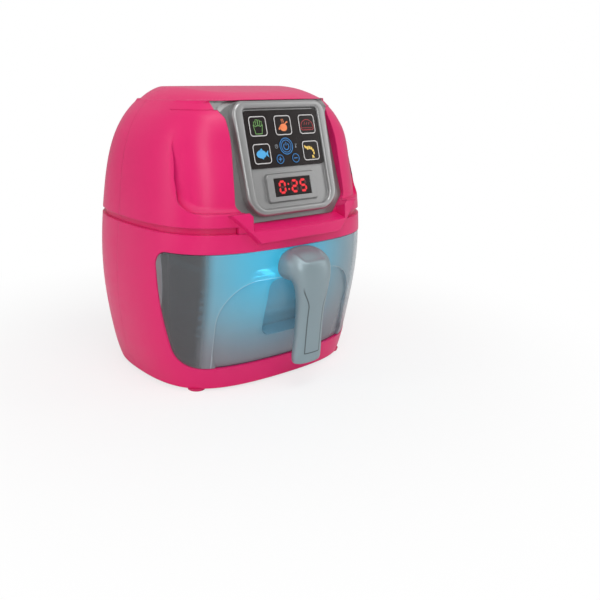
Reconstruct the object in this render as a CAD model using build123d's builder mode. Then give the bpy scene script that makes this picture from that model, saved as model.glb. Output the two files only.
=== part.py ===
from build123d import *
from math import cos, sin, radians, tan
import os

# Toy air fryer with a slide-out drawer and a keypad console.
# Millimetres, +Z up, the front faces -Y, X runs left to right seen from the front.
# The origin is on the surface that the feet stand on, under the middle of the body.

# Body outline: level, half width and half depth of each station, bottom to top
fullness = 0.796
base_level = 2.0
base_half_width = 83.8
base_half_depth = 68.6
toe_level = 30.0
toe_half_width = 91.0
toe_half_depth = 73.6
belly_level = 63.0
belly_half_width = 94.9
belly_half_depth = 79.3
waist_level = 103.0
waist_half_width = 93.9
waist_half_depth = 84.4
chest_level = 140.0
chest_half_width = 90.6
chest_half_depth = 81.8
shoulder_level = 174.0
shoulder_half_width = 84.7
shoulder_half_depth = 72.4
brow_level = 191.0
brow_half_width = 76.8
brow_half_depth = 64.5
crown_level = 203.0
crown_half_width = 66.5
crown_half_depth = 55.2

# Roof cap, set in from the crown and rounded at the top
cap_inset = 2.0
cap_height = 9.0
cap_rounding = 6.5
cap_wall = 2.4

# Housing shells
wall = 2.4
parting_y = 10.5
seam_level = 120.5
groove_height = 4.5
groove_depth = 2.6
tongue_wall = 1.6
tongue_reach = 2.5
thick_band = 6.0
fascia_depth = 2.5
fascia_half_width = 81.5
fascia_bottom = 130.0
fascia_top = 197.0
fascia_top_half = 70.0
fascia_corner = 9.0
fit_gap = 0.15

# Drawer opening, a side profile cut right across the front of the lower housing
window_bottom = 18.0
window_top = 103.0
window_back_top = 37.3
window_back_bottom = 47.0
window_top_corner = 9.0
window_bottom_corner = 17.0
window_gap = 0.5

# Console frame: its origin is the top middle of the icon panel
console_reach = 60.2
console_level = 196.1
console_tilt = 15.5
plate_depth = 5.0
plate_thickness = 2.0
recess_wall = 2.2
recess_top = 8.5
recess_top_half = 52.0
recess_neck_half = 46.6
recess_neck_drop = 4.0
recess_side_half = 50.0
recess_side_drop = 64.0
recess_floor_half = 38.0
recess_floor_drop = 76.5
recess_round = 5.0
plate_gap = 0.2

# Lip under the console
lip_reach = 4.0
lip_bottom_drop = 91.0
lip_bottom_half = 36.0
lip_arm_half = 57.0
lip_arm_drop = 69.5
lip_slope_half = 42.0
lip_slope_fall = 18.0
lip_web_half = 50.0
lip_web_front = 70.0

# Bezel
bezel_top = 6.9
bezel_bottom = 73.2
bezel_half_top = 42.2
bezel_half_bottom = 40.4
bezel_top_corner = 10.0
bezel_bottom_corner = 16.0
bezel_rise = 1.6
bezel_floor_bottom = 68.2
bezel_floor_corner = 9.0
bezel_round = 2.6
floor_thickness = 2.0
surround_half = 23.3
surround_top = 44.3
surround_bottom = 65.0
surround_rise = 2.0
surround_corner = 3.0
surround_draft = 25

# Icon panel and keys
panel_half_width = 33.0
panel_height = 40.3
panel_thickness = 1.2
panel_corner = 2.5
panel_ledge = 1.6
key_pitch_x = 22.3
key_row_top = 11.1
key_row_bottom = 30.3
key_width = 15.2
key_height = 14.2
key_corner = 2.8
power_drop = 26.0
power_radius = 6.1
sign_key_x = 7.1
sign_key_drop = 34.9
sign_key_radius = 3.5
key_gap = 0.2
key_rise = 0.3
key_flange = 0.6
key_flange_thickness = 1.0
key_stem_half = 1.5
key_travel = 0.8
dome_gap = 0.1
dome_height = 0.6
dome_half = 2.6
dome_sheet_thickness = 0.3

# Key board, display and what is mounted on them
board_half_width = 35.0
board_top = 2.0
board_bottom = 68.0
board_thickness = 1.6
board_screw_x = 33.0
board_screw_drop = 33.0
board_screw_radius = 1.0
board_screw_head = 1.8
board_screw_reach = 1.4
board_margin = 1.5
window_half_width = 16.5
display_top = 48.2
display_height = 12.6
display_rise = 0.6
display_thickness = 1.2
module_margin = 0.8
chip_size = 12.0
chip_thickness = 1.4

# Chamber liner with the drawer rails
liner_half_width = 76.5
liner_wall = 2.0
liner_bottom = 15.5
liner_top = 107.0
liner_back = 53.0
liner_side_front = 30.0
liner_gap = 0.6
rail_height = 2.0
rail_reach = 2.0

# Drawer
front_gap = 0.3
front_wall = 2.2
arch_half_width = 62.0
arch_top = 81.5
arch_corner = 30.0
arch_depth = 2.0
pocket_half_top = 22.0
pocket_half_bottom = 25.0
pocket_top = 80.0
pocket_bottom = 33.6
pocket_back = 60.0
pocket_corner = 7.0
pocket_wall = 1.8
pocket_floor_rise = 6.0
tub_half_width = 72.0
tub_wall = 1.8
tub_bottom = 19.0
tub_rim_level = 90.0
tub_rim_thickness = 1.6
tub_rim_reach = 2.0
tub_back = 49.0
tub_corner = 8.0

# Crisper rack
rack_level = 36.0
rack_thickness = 2.5
rack_half_width = 66.0
rack_front = 54.0
rack_back = 44.0
rack_border = 4.0
rack_corner = 8.0
rack_slots = 5
rack_bar = 5.0
rack_foot_half = 2.5
rack_foot_inset = 5.5

# Handle: each station is forward reach, level, half width, half thickness and lean in degrees
handle_fullness = 0.75
handle_stations = [
    (74.0, 92.5, 11.6, 10.2, 0),
    (88.0, 92.7, 11.6, 9.9, 4),
    (96.4, 91.2, 12.3, 10.8, 45),
    (97.2, 79.0, 12.0, 6.9, 88),
    (94.6, 61.0, 10.2, 5.3, 95),
    (92.4, 38.0, 10.5, 5.0, 94),
    (91.2, 21.0, 11.5, 4.9, 92),
    (91.0, 16.2, 10.2, 3.6, 90),
]
cover_top_half = 9.0
cover_waist_half = 3.8
cover_foot_half = 4.6
cover_top = 81.0
cover_waist = 66.0
cover_bottom = 26.0
cover_thickness = 1.6
cover_root = 92.4
cover_corner = 2.4
handle_screw_radius = 1.4
handle_screw_head = 2.6
handle_screw_spread = 6.0
handle_screw_depth = 9.0

# Base plate, feet and housing screws
base_plate_thickness = 2.5
base_gap = 0.2
foot_x = 65.0
foot_y = 49.0
foot_radius = 7.0
well_radius = 4.2
well_bore = 2.9
well_floor = 6.0
screw_radius = 1.4
screw_head = 2.7
screw_head_height = 2.0
screw_reach = 8.0
screw_hole_gap = 0.05
upper_screw_x = 50.0
upper_screw_level = 182.0
lower_screw_x = 55.0
lower_screw_level = 10.6

# Lamp over the chamber
lamp_y = -35.0
lens_radius = 14.0
lens_flange = 2.5
lens_drop = 1.5
lens_flange_thickness = 1.2
lamp_count = 3
lamp_pitch = 9.0
lamp_radius = 2.5
lamp_length = 5.0
lamp_board_half_x = 26.0
lamp_board_half_y = 8.0
lamp_post_x = 22.0
lamp_post_radius = 2.5

# Loudspeaker behind the grille
speaker_level = 160.0
speaker_radius = 18.0
speaker_depth = 8.0
speaker_back_radius = 9.0
speaker_cup_wall = 1.6
speaker_gap = 0.3
grille_slots = 5
grille_pitch = 5.0
grille_slot_width = 2.0
grille_margin = 4.0

# Battery bay in the back of the lower housing
cell_radius = 7.25
cell_length = 49.5
cell_nub_radius = 2.7
cell_nub_length = 1.0
cell_count = 3
cell_pitch = 15.2
cell_gap = 0.3
battery_wall = 1.5
battery_bottom = 33.0
battery_contact = 2.0
battery_depth = 16.4
door_half_width = 31.0
door_bottom = 33.0
door_top = 91.0
door_corner = 4.0
door_gap = 0.25
door_screw_level = 86.0
door_boss_half = 5.0
door_screw_length = 7.0

os.makedirs("parts", exist_ok=True)

# Body stations in order, as level, half width and half depth
stations = [
    (base_level, base_half_width, base_half_depth),
    (toe_level, toe_half_width, toe_half_depth),
    (belly_level, belly_half_width, belly_half_depth),
    (waist_level, waist_half_width, waist_half_depth),
    (chest_level, chest_half_width, chest_half_depth),
    (shoulder_level, shoulder_half_width, shoulder_half_depth),
    (brow_level, brow_half_width, brow_half_depth),
    (crown_level, crown_half_width, crown_half_depth),
]
far = 3 * belly_half_width
top_level = crown_level + cap_height


def rounded_outline(half_width, half_depth, swell=fullness):
    """Closed outline of four like quarters, square-shouldered as the body is seen from above."""
    for x, y in ((1, 1), (-1, 1), (-1, -1), (1, -1)):
        Bezier(
            (x * half_width, 0),
            (x * half_width, y * swell * half_depth),
            (x * swell * half_width, y * half_depth),
            (0, y * half_depth),
        )


def barrel(insets):
    """The body's solid form, set in by one amount or by one amount for each station."""
    if not isinstance(insets, list):
        insets = [insets] * len(stations)
    with BuildPart() as form:
        for (level, half_width, half_depth), inset in zip(stations, insets):
            with BuildSketch(Plane.XY.offset(level)):
                with BuildLine():
                    rounded_outline(half_width - inset, half_depth - inset)
                make_face()
        loft()
    return form.part


def slab(low, high):
    """Everything between two levels."""
    with BuildPart() as layer:
        with BuildSketch(Plane.XY.offset(low)):
            Rectangle(far, far)
        extrude(amount=high - low)
    return layer.part


def mirrored(points):
    """A closed outline from its right half, listed from the top middle to the bottom middle."""
    return points + [(-x, y) for x, y in reversed(points) if x > 0]


def drawer_profile(gap):
    """Side profile of the drawer opening, shrunk by a gap and drawn right across the body."""
    slope = (window_back_bottom - window_back_top) / (window_top - window_bottom)
    low = window_bottom + gap
    high = window_top - gap
    with BuildPart() as profile:
        with BuildSketch(Plane.YZ.offset(-far / 2)) as side:
            with BuildLine():
                Polyline(
                    (-far / 2, low),
                    (-window_back_bottom - gap + slope * gap, low),
                    (-window_back_top - gap - slope * gap, high),
                    (-far / 2, high),
                    close=True,
                )
            make_face()
            corners = side.vertices().group_by(Axis.Y)
            fillet(corners[0].sort_by(Axis.X)[-1], window_bottom_corner - gap)
            fillet(side.vertices().group_by(Axis.Y)[-1].sort_by(Axis.X)[-1], window_top_corner - gap)
        extrude(amount=far)
    return profile.part


# The console frame: x across, y up the panel, z out of it
tilt = radians(console_tilt)
console = Plane(
    origin=(0, -console_reach, console_level),
    x_dir=(1, 0, 0),
    z_dir=(0, -cos(tilt), sin(tilt)),
)
plate_back = -plate_depth - plate_thickness
recess_back = plate_back - recess_wall

body = barrel(0)
body_inside = barrel(wall)
recess_outline = mirrored([
    (recess_top_half, recess_top),
    (recess_neck_half, -recess_neck_drop),
    (recess_side_half, -recess_side_drop),
    (recess_floor_half, -recess_floor_drop),
])


def recess_prism(grow, start):
    """The console recess, grown sideways and running out of the body from a depth."""
    with BuildPart() as prism:
        with BuildSketch(console.offset(start)) as sketch:
            with BuildLine():
                Polyline(*recess_outline, close=True)
            make_face()
            fillet(sketch.vertices(), recess_round)
            if grow != 0:
                offset(amount=grow)
        extrude(amount=plate_depth * 12)
    return prism.part


# Roof cap on top of the crown
with BuildPart() as roof_cap:
    with BuildSketch(Plane.XY.offset(crown_level)):
        with BuildLine():
            rounded_outline(crown_half_width - cap_inset, crown_half_depth - cap_inset)
        make_face()
    extrude(amount=cap_height)
    fillet(roof_cap.faces().sort_by(Axis.Z)[-1].edges(), cap_rounding)

with BuildPart() as cap_hollow:
    hollow_shrink = cap_inset + cap_rounding
    with BuildSketch(Plane.XY.offset(crown_level - 2 * wall)):
        with BuildLine():
            rounded_outline(crown_half_width - hollow_shrink, crown_half_depth - hollow_shrink)
        make_face()
    extrude(amount=cap_height - cap_wall + 2 * wall)

# The fascia step: inside this outline the front lies deeper, fading out towards the top
fascia_insets = [fascia_depth] * 5 + [0.8 * fascia_depth, 0.4 * fascia_depth, 0.1 * fascia_depth]


def fascia_prism(grow):
    """The outline of the deeper front, grown sideways and running out of the front."""
    with BuildPart() as prism:
        with BuildSketch(Plane.XZ) as outline:
            with BuildLine():
                Polyline(
                    *mirrored([
                        (fascia_top_half, fascia_top),
                        (shoulder_half_width - 2.4 * fascia_depth, shoulder_level),
                        (fascia_half_width, (fascia_bottom + shoulder_level) / 2),
                        (fascia_half_width, fascia_bottom),
                    ]),
                    close=True,
                )
            make_face()
            fillet(outline.vertices().group_by(Axis.Y)[0], fascia_corner)
            if grow:
                offset(amount=grow)
        extrude(amount=far / 2)
    return prism.part


with BuildPart() as fascia_step:
    add(fascia_prism(0))
    add(barrel(fascia_insets), mode=Mode.SUBTRACT)

with BuildPart() as fascia_backing:
    add(fascia_prism(wall))
    add(barrel([inset + wall for inset in fascia_insets]), mode=Mode.SUBTRACT)

# The lip stands out under the console and hangs over the seam, just clear of the lower housing
with BuildPart() as seam_backing:
    add(barrel(-fit_gap))
    add(slab(seam_level, top_level), mode=Mode.SUBTRACT)

with BuildPart() as lip:
    with BuildSketch(console.offset(recess_back)):
        with BuildLine():
            Polyline(
                (lip_arm_half, -lip_arm_drop),
                (lip_bottom_half, -lip_bottom_drop),
                (-lip_bottom_half, -lip_bottom_drop),
                (-lip_arm_half, -lip_arm_drop),
                close=True,
            )
        make_face()
    extrude(amount=plate_depth * 12)
    add(barrel(-lip_reach), mode=Mode.INTERSECT)
    add(seam_backing.part, mode=Mode.SUBTRACT)

# What slopes away from the bottom of the console towards the front of the lip
slope_start = console.from_local_coords(Vector(0, -recess_floor_drop, -plate_depth))
with BuildPart() as lip_slope:
    with BuildSketch(Plane.YZ.offset(-lip_slope_half)):
        with BuildLine():
            Polyline(
                (slope_start.Y, slope_start.Z),
                (slope_start.Y - far / 4, slope_start.Z - far / 4 * tan(radians(lip_slope_fall))),
                (slope_start.Y - far / 4, slope_start.Z + far / 4),
                (slope_start.Y, slope_start.Z + 2 * wall),
                close=True,
            )
        make_face()
    extrude(amount=2 * lip_slope_half)


shelf_level = seam_level - groove_height


def lip_web_space(grow):
    """Under the console the upper housing reaches down over the lower one; this is that space, grown."""
    with BuildPart() as space:
        with BuildSketch(Plane.XY.offset(shelf_level + fit_gap - grow)):
            with Locations((0, -lip_web_front - far / 4 + grow)):
                Rectangle(2 * (lip_web_half + grow), far / 2)
        extrude(amount=2 * groove_height)
    return space.part


def pillars(x, level, radius, start, end):
    """A pair of round bars along Y, from one depth to another."""
    with BuildPart() as pair:
        with BuildSketch(Plane.XZ.offset(-start)):
            with Locations((x, level), (-x, level)):
                Circle(radius)
        extrude(amount=start - end)
    return pair.part


def screw_well_bars(places, start, end, radius):
    """Bars for several pairs of screw wells."""
    with BuildPart() as bars:
        for x, level in places:
            add(pillars(x, level, radius, start, end))
    return bars.part


upper_wells = [(upper_screw_x, upper_screw_level)]
lower_wells = [(lower_screw_x, lower_screw_level)]
head_seat = parting_y + well_floor

# Upper housing, both halves in one, before it is parted
with BuildPart() as upper_outside:
    add(body)
    add(slab(0, seam_level), mode=Mode.SUBTRACT)
    add(fascia_step.part, mode=Mode.SUBTRACT)
    add(roof_cap.part)

with BuildPart() as upper_inside:
    add(body_inside)
    add(slab(crown_level - wall, top_level), mode=Mode.SUBTRACT)
    add(fascia_backing.part, mode=Mode.SUBTRACT)
    add(cap_hollow.part)

with BuildPart() as console_wall:
    add(recess_prism(recess_wall, recess_back))
    add(upper_outside.part, mode=Mode.INTERSECT)

with BuildPart() as lip_web:
    add(lip_web_space(0))
    add(body, mode=Mode.INTERSECT)

with BuildPart() as upper_bars:
    add(screw_well_bars(upper_wells, far / 2, -far / 2, well_radius))
    add(upper_outside.part, mode=Mode.INTERSECT)

with BuildPart() as upper_form:
    add(upper_outside.part)
    add(lip.part)
    add(upper_inside.part, mode=Mode.SUBTRACT)
    add(upper_bars.part)
    add(console_wall.part)
    add(lip_web.part)
    add(recess_prism(0, plate_back), mode=Mode.SUBTRACT)
    add(lip_slope.part, mode=Mode.SUBTRACT)
    with BuildSketch(console.offset(recess_back)):
        with Locations((0, (board_top - board_bottom) / 2)):
            Rectangle(2 * (board_half_width + board_margin), board_top + board_bottom + 2 * board_margin)
    extrude(amount=2 * recess_wall, both=True, mode=Mode.SUBTRACT)

with BuildPart() as upper_front_shell:
    add(upper_form.part)
    split(bisect_by=Plane.XZ.offset(-parting_y), keep=Keep.TOP)
    add(
        screw_well_bars(upper_wells, far, parting_y - screw_reach - 1, screw_radius + screw_hole_gap),
        mode=Mode.SUBTRACT,
    )
upper_front_shell.part.label = "upper_front_shell"
export_step(upper_front_shell.part, "parts/upper_front_shell.step")

# Loudspeaker cup and grille in the upper rear shell
speaker_face_y = shoulder_half_depth - wall - speaker_cup_wall
with BuildPart() as speaker_cup:
    with BuildSketch(Plane.XZ.offset(-(speaker_face_y - speaker_depth))):
        with Locations((0, speaker_level)):
            Circle(speaker_radius + speaker_gap + speaker_cup_wall)
            Circle(speaker_radius + speaker_gap, mode=Mode.SUBTRACT)
    extrude(amount=-far / 4)
    add(upper_outside.part, mode=Mode.INTERSECT)

with BuildPart() as upper_rear_shell:
    add(upper_form.part)
    split(bisect_by=Plane.XZ.offset(-parting_y), keep=Keep.BOTTOM)
    add(speaker_cup.part)
    add(screw_well_bars(upper_wells, head_seat, far, well_bore), mode=Mode.SUBTRACT)
    add(screw_well_bars(upper_wells, 0, head_seat, screw_radius + screw_hole_gap), mode=Mode.SUBTRACT)
    with BuildSketch(Plane.XZ.offset(-speaker_face_y)):
        for slot in range(grille_slots):
            rise = (slot - (grille_slots - 1) / 2) * grille_pitch
            half_length = ((speaker_radius - grille_margin) ** 2 - rise**2) ** 0.5
            with Locations((0, speaker_level + rise)):
                Rectangle(2 * half_length, grille_slot_width)
    extrude(amount=-far / 4, mode=Mode.SUBTRACT)
upper_rear_shell.part.label = "upper_rear_shell"
export_step(upper_rear_shell.part, "parts/upper_rear_shell.step")

# Lower housing: the groove under the seam and the tongue that reaches up inside the upper housing
tongue_inset = groove_depth + tongue_wall
with BuildPart() as tongue:
    add(barrel(groove_depth))
    add(slab(0, shelf_level - 1), mode=Mode.SUBTRACT)
    add(slab(seam_level + tongue_reach, top_level), mode=Mode.SUBTRACT)
    add(lip_web_space(fit_gap), mode=Mode.SUBTRACT)

with BuildPart() as lower_inside:
    add(body_inside)
    add(slab(shelf_level - thick_band, top_level), mode=Mode.SUBTRACT)
    add(barrel(tongue_inset))

with BuildPart() as lower_bars:
    add(screw_well_bars(lower_wells, far / 2, -far / 2, well_radius))
    add(body, mode=Mode.INTERSECT)

with BuildPart() as lower_form:
    add(body)
    add(slab(shelf_level, top_level), mode=Mode.SUBTRACT)
    add(tongue.part)
    add(lower_inside.part, mode=Mode.SUBTRACT)
    add(lower_bars.part)

with BuildPart() as lower_front_shell:
    add(lower_form.part)
    split(bisect_by=Plane.XZ.offset(-parting_y), keep=Keep.TOP)
    add(drawer_profile(0), mode=Mode.SUBTRACT)
    add(
        screw_well_bars(lower_wells, far, parting_y - screw_reach - 1, screw_radius + screw_hole_gap),
        mode=Mode.SUBTRACT,
    )
lower_front_shell.part.label = "lower_front_shell"
export_step(lower_front_shell.part, "parts/lower_front_shell.step")


def door_prism(gap):
    """The battery door's outline, running back out of the housing."""
    with BuildPart() as prism:
        with BuildSketch(Plane.XZ.offset(-liner_back)):
            with Locations((0, (door_top + door_bottom) / 2)):
                RectangleRounded(2 * (door_half_width - gap), door_top - door_bottom - 2 * gap, door_corner)
        extrude(amount=-far / 2)
    return prism.part


with BuildPart() as lower_rear_shell:
    add(lower_form.part)
    split(bisect_by=Plane.XZ.offset(-parting_y), keep=Keep.BOTTOM)
    add(screw_well_bars(lower_wells, head_seat, far, well_bore), mode=Mode.SUBTRACT)
    add(screw_well_bars(lower_wells, 0, head_seat, screw_radius + screw_hole_gap), mode=Mode.SUBTRACT)
    add(door_prism(0), mode=Mode.SUBTRACT)
lower_rear_shell.part.label = "lower_rear_shell"
export_step(lower_rear_shell.part, "parts/lower_rear_shell.step")

# Housing screws, one in each well
with BuildPart() as housing_screws:
    for x, level in upper_wells + lower_wells:
        add(pillars(x, level, screw_radius, parting_y - screw_reach, head_seat))
        add(pillars(x, level, screw_head, head_seat, head_seat + screw_head_height))
housing_screws.part.label = "housing_screws"
export_step(housing_screws.part, "parts/housing_screws.step")

# Base plate with its moulded feet, one near each corner and one under the middle
with BuildPart() as base_plate:
    plate_shrink = wall + base_gap
    with BuildSketch(Plane.XY.offset(base_level)):
        with BuildLine():
            rounded_outline(base_half_width - plate_shrink, base_half_depth - plate_shrink)
        make_face()
    extrude(amount=base_plate_thickness)
    with BuildSketch(Plane.XY.offset(base_level)):
        Circle(foot_radius)
        with GridLocations(2 * foot_x, 2 * foot_y, 2, 2):
            Circle(foot_radius)
    extrude(amount=-base_level, taper=20)
base_plate.part.label = "base_plate"
export_step(base_plate.part, "parts/base_plate.step")

# Chamber liner: floor, roof, back and sides, open to the front, with a rail on each side
lens_hole = lens_radius + plate_gap
with BuildPart() as liner_inside:
    with BuildSketch(Plane.XY.offset(liner_bottom + liner_wall)):
        with Locations((0, liner_back - liner_wall - far / 2)):
            Rectangle(2 * (liner_half_width - liner_wall), far)
    extrude(amount=liner_top - liner_bottom - 2 * liner_wall)
    add(barrel(wall + liner_gap + liner_wall), mode=Mode.INTERSECT)
    with BuildSketch(Plane.XY.offset(liner_bottom + liner_wall)):
        with Locations((0, -liner_side_front - far / 2)):
            Rectangle(far, far)
    extrude(amount=liner_top - liner_bottom - 2 * liner_wall)

rail_top = tub_rim_level - tub_rim_thickness - front_gap
with BuildPart() as chamber_liner:
    with BuildSketch(Plane.XY.offset(liner_bottom)):
        with Locations((0, liner_back - far / 2)):
            Rectangle(2 * liner_half_width, far)
    extrude(amount=liner_top - liner_bottom)
    add(barrel(wall + liner_gap), mode=Mode.INTERSECT)
    add(liner_inside.part, mode=Mode.SUBTRACT)
    with BuildSketch(Plane.XY.offset(rail_top - rail_height)):
        for side in (-1, 1):
            with Locations((side * (liner_half_width - (liner_wall + rail_reach) / 2), 0)):
                with Locations((0, (liner_back - liner_side_front) / 2)):
                    Rectangle(liner_wall + rail_reach, liner_back + liner_side_front)
    extrude(amount=rail_height)
    with BuildSketch(Plane.XY.offset(liner_top)):
        with Locations((lamp_post_x, lamp_y), (-lamp_post_x, lamp_y)):
            Circle(lamp_post_radius)
    extrude(amount=lens_flange_thickness + lamp_length)
    with BuildSketch(Plane.XY.offset(liner_top - liner_wall)):
        with Locations((0, lamp_y)):
            Circle(lens_hole)
    extrude(amount=liner_wall, mode=Mode.SUBTRACT)
chamber_liner.part.label = "chamber_liner"
export_step(chamber_liner.part, "parts/chamber_liner.step")

# Light lens in the chamber roof, with the lamps and their board above it
with BuildPart() as light_lens:
    with BuildSketch(Plane.XY.offset(liner_top)):
        with Locations((0, lamp_y)):
            Circle(lens_radius + lens_flange)
    extrude(amount=lens_flange_thickness)
    with BuildSketch(Plane.XY.offset(liner_top)):
        with Locations((0, lamp_y)):
            Circle(lens_radius)
    extrude(amount=-liner_wall - lens_drop, taper=15)
light_lens.part.label = "light_lens"
export_step(light_lens.part, "parts/light_lens.step")

lamp_base = liner_top + lens_flange_thickness
with BuildPart() as led_lamps:
    with BuildSketch(Plane.XY.offset(lamp_base + fit_gap)):
        with Locations((0, lamp_y)):
            with GridLocations(lamp_pitch, 1, lamp_count, 1):
                Circle(lamp_radius)
    extrude(amount=lamp_length - fit_gap)
led_lamps.part.label = "led_lamps"
export_step(led_lamps.part, "parts/led_lamps.step")

with BuildPart() as led_board:
    with BuildSketch(Plane.XY.offset(lamp_base + lamp_length)):
        with Locations((0, lamp_y)):
            Rectangle(2 * lamp_board_half_x, 2 * lamp_board_half_y)
    extrude(amount=board_thickness)
led_board.part.label = "led_board"
export_step(led_board.part, "parts/led_board.step")

# Loudspeaker: magnet, basket cone and rim, pushed into its cup
with BuildPart() as speaker:
    with BuildSketch(Plane.XZ.offset(-speaker_face_y)):
        with Locations((0, speaker_level)):
            Circle(speaker_radius)
    extrude(amount=1.5)
    with BuildSketch(Plane.XZ.offset(-speaker_face_y + 1.5)):
        with Locations((0, speaker_level)):
            Circle(speaker_radius - 2)
    with BuildSketch(Plane.XZ.offset(-speaker_face_y + speaker_depth / 2)):
        with Locations((0, speaker_level)):
            Circle(speaker_back_radius)
    loft()
    with BuildSketch(Plane.XZ.offset(-speaker_face_y + speaker_depth / 2)):
        with Locations((0, speaker_level)):
            Circle(speaker_back_radius)
    extrude(amount=speaker_depth / 2)
speaker.part.label = "speaker"
export_step(speaker.part, "parts/speaker.step")

# Battery bay
cell_y = liner_back + battery_wall + cell_gap + cell_radius
cell_low = battery_bottom + battery_wall + cell_pitch / 2
bay_half = cell_length / 2 + cell_nub_length + battery_contact
bay_height = cell_count * cell_pitch
bay_top = battery_bottom + bay_height + 2 * battery_wall
door_screw_place = [(0, door_screw_level)]
cell_levels = [cell_low + row * cell_pitch for row in range(cell_count)]
with BuildPart() as battery_box:
    with BuildSketch(Plane.XZ.offset(-liner_back)):
        with Locations((0, battery_bottom + battery_wall + bay_height / 2)):
            Rectangle(2 * (bay_half + battery_wall), bay_height + 2 * battery_wall)
    extrude(amount=-battery_depth)
    with BuildSketch(Plane.XZ.offset(-liner_back - battery_wall)):
        with Locations((0, battery_bottom + battery_wall + bay_height / 2)):
            Rectangle(2 * bay_half, bay_height)
    extrude(amount=-battery_depth, mode=Mode.SUBTRACT)
    with BuildSketch(Plane.XZ.offset(-liner_back)):
        with Locations((0, door_screw_level)):
            Rectangle(2 * door_boss_half, 2 * (door_screw_level - bay_top))
    extrude(amount=-(waist_half_depth - liner_back - 4 * wall))
    door_seat = battery_box.faces().sort_by(Axis.Y)[-1].center().Y
    add(
        screw_well_bars(door_screw_place, door_seat - door_screw_length, far, screw_radius + screw_hole_gap),
        mode=Mode.SUBTRACT,
    )
battery_box.part.label = "battery_box"
export_step(battery_box.part, "parts/battery_box.step")

with BuildPart() as aa_cells:
    for row, level in enumerate(cell_levels):
        end = 1 if row % 2 == 0 else -1
        with BuildSketch(Plane.YZ.offset(-cell_length / 2)):
            with Locations((cell_y, level)):
                Circle(cell_radius)
        extrude(amount=cell_length)
        with BuildSketch(Plane.YZ.offset(end * cell_length / 2)):
            with Locations((cell_y, level)):
                Circle(cell_nub_radius)
        extrude(amount=end * cell_nub_length)
aa_cells.part.label = "aa_cells"
export_step(aa_cells.part, "parts/aa_cells.step")

# A flat contact against each positive nub and a sprung one against each flat end
contact_plate = 0.5
with BuildPart() as battery_contacts:
    for row, level in enumerate(cell_levels):
        end = 1 if row % 2 == 0 else -1
        for side in (-1, 1):
            with BuildSketch(Plane.YZ.offset(side * bay_half)):
                with Locations((cell_y, level)):
                    Rectangle(2 * cell_radius - 4, cell_pitch - 4)
            extrude(amount=-side * contact_plate)
            reach = battery_contact - contact_plate + (0 if side == end else cell_nub_length)
            with BuildSketch(Plane.YZ.offset(side * (bay_half - contact_plate))):
                with Locations((cell_y, level)):
                    Rectangle(cell_nub_radius, cell_nub_radius)
            extrude(amount=-side * (reach - fit_gap))
battery_contacts.part.label = "battery_contacts"
export_step(battery_contacts.part, "parts/battery_contacts.step")

# Battery door, part of the body's own curve, with a cup for its screw and ribs that hold the cells
with BuildPart() as battery_door:
    add(body)
    add(body_inside, mode=Mode.SUBTRACT)
    add(door_prism(door_gap), mode=Mode.INTERSECT)
    with BuildSketch(Plane.XZ.offset(-door_seat)):
        with Locations((0, door_screw_level)):
            Circle(well_radius)
    extrude(amount=-far / 4)
    with BuildSketch(Plane.XZ.offset(-(cell_y + cell_radius + cell_gap))):
        with Locations((bay_half * 0.7, cell_levels[1]), (-bay_half * 0.7, cell_levels[1])):
            Rectangle(battery_wall, 2 * cell_pitch)
    extrude(amount=-far / 4)
    add(body, mode=Mode.INTERSECT)
    add(
        screw_well_bars(door_screw_place, 0, far, screw_radius + screw_hole_gap),
        mode=Mode.SUBTRACT,
    )
    add(
        screw_well_bars(door_screw_place, door_seat + battery_wall, far, well_bore),
        mode=Mode.SUBTRACT,
    )
battery_door.part.label = "battery_door"
export_step(battery_door.part, "parts/battery_door.step")

with BuildPart() as door_screw:
    head_start = door_seat + battery_wall
    with BuildSketch(Plane.XZ.offset(-head_start)):
        with Locations((0, door_screw_level)):
            Circle(screw_head)
    extrude(amount=-screw_head_height)
    with BuildSketch(Plane.XZ.offset(-head_start)):
        with Locations((0, door_screw_level)):
            Circle(screw_radius)
    extrude(amount=battery_wall + door_screw_length - 1)
door_screw.part.label = "door_screw"
export_step(door_screw.part, "parts/door_screw.step")

# Console: the silver plate in the recess
key_window_half = key_pitch_x + key_width / 2 + 2 * key_flange
window_drop = board_bottom - 2 * board_margin
with BuildPart() as console_plate:
    with BuildSketch(console.offset(plate_back)) as plate_sketch:
        with BuildLine():
            Polyline(*recess_outline, close=True)
        make_face()
        fillet(plate_sketch.vertices(), recess_round)
        offset(amount=-plate_gap)
        with Locations((0, -(panel_thickness + window_drop) / 2)):
            Rectangle(2 * key_window_half, window_drop - panel_thickness, mode=Mode.SUBTRACT)
    extrude(amount=plate_thickness)
    add(barrel(plate_gap), mode=Mode.INTERSECT)
    screw_places = [(side * board_screw_x, -board_screw_drop) for side in (-1, 1)]
    with BuildSketch(console.offset(plate_back)):
        with Locations(*screw_places):
            Circle(board_screw_radius + screw_hole_gap)
    extrude(amount=board_screw_reach + screw_hole_gap, mode=Mode.SUBTRACT)
console_plate.part.label = "console_plate"
export_step(console_plate.part, "parts/console_plate.step")


def bezel_outline(half_top, half_bottom, top, bottom, top_corner, bottom_corner):
    """A sketch of the bezel's rounded outline in the console frame."""
    with BuildSketch() as outline:
        with BuildLine():
            Polyline(*mirrored([(half_top, top), (half_bottom, -bottom)]), close=True)
        make_face()
        fillet(outline.vertices().group_by(Axis.Y)[-1], top_corner)
        fillet(outline.vertices().group_by(Axis.Y)[0], bottom_corner)
    return outline.sketch


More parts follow.
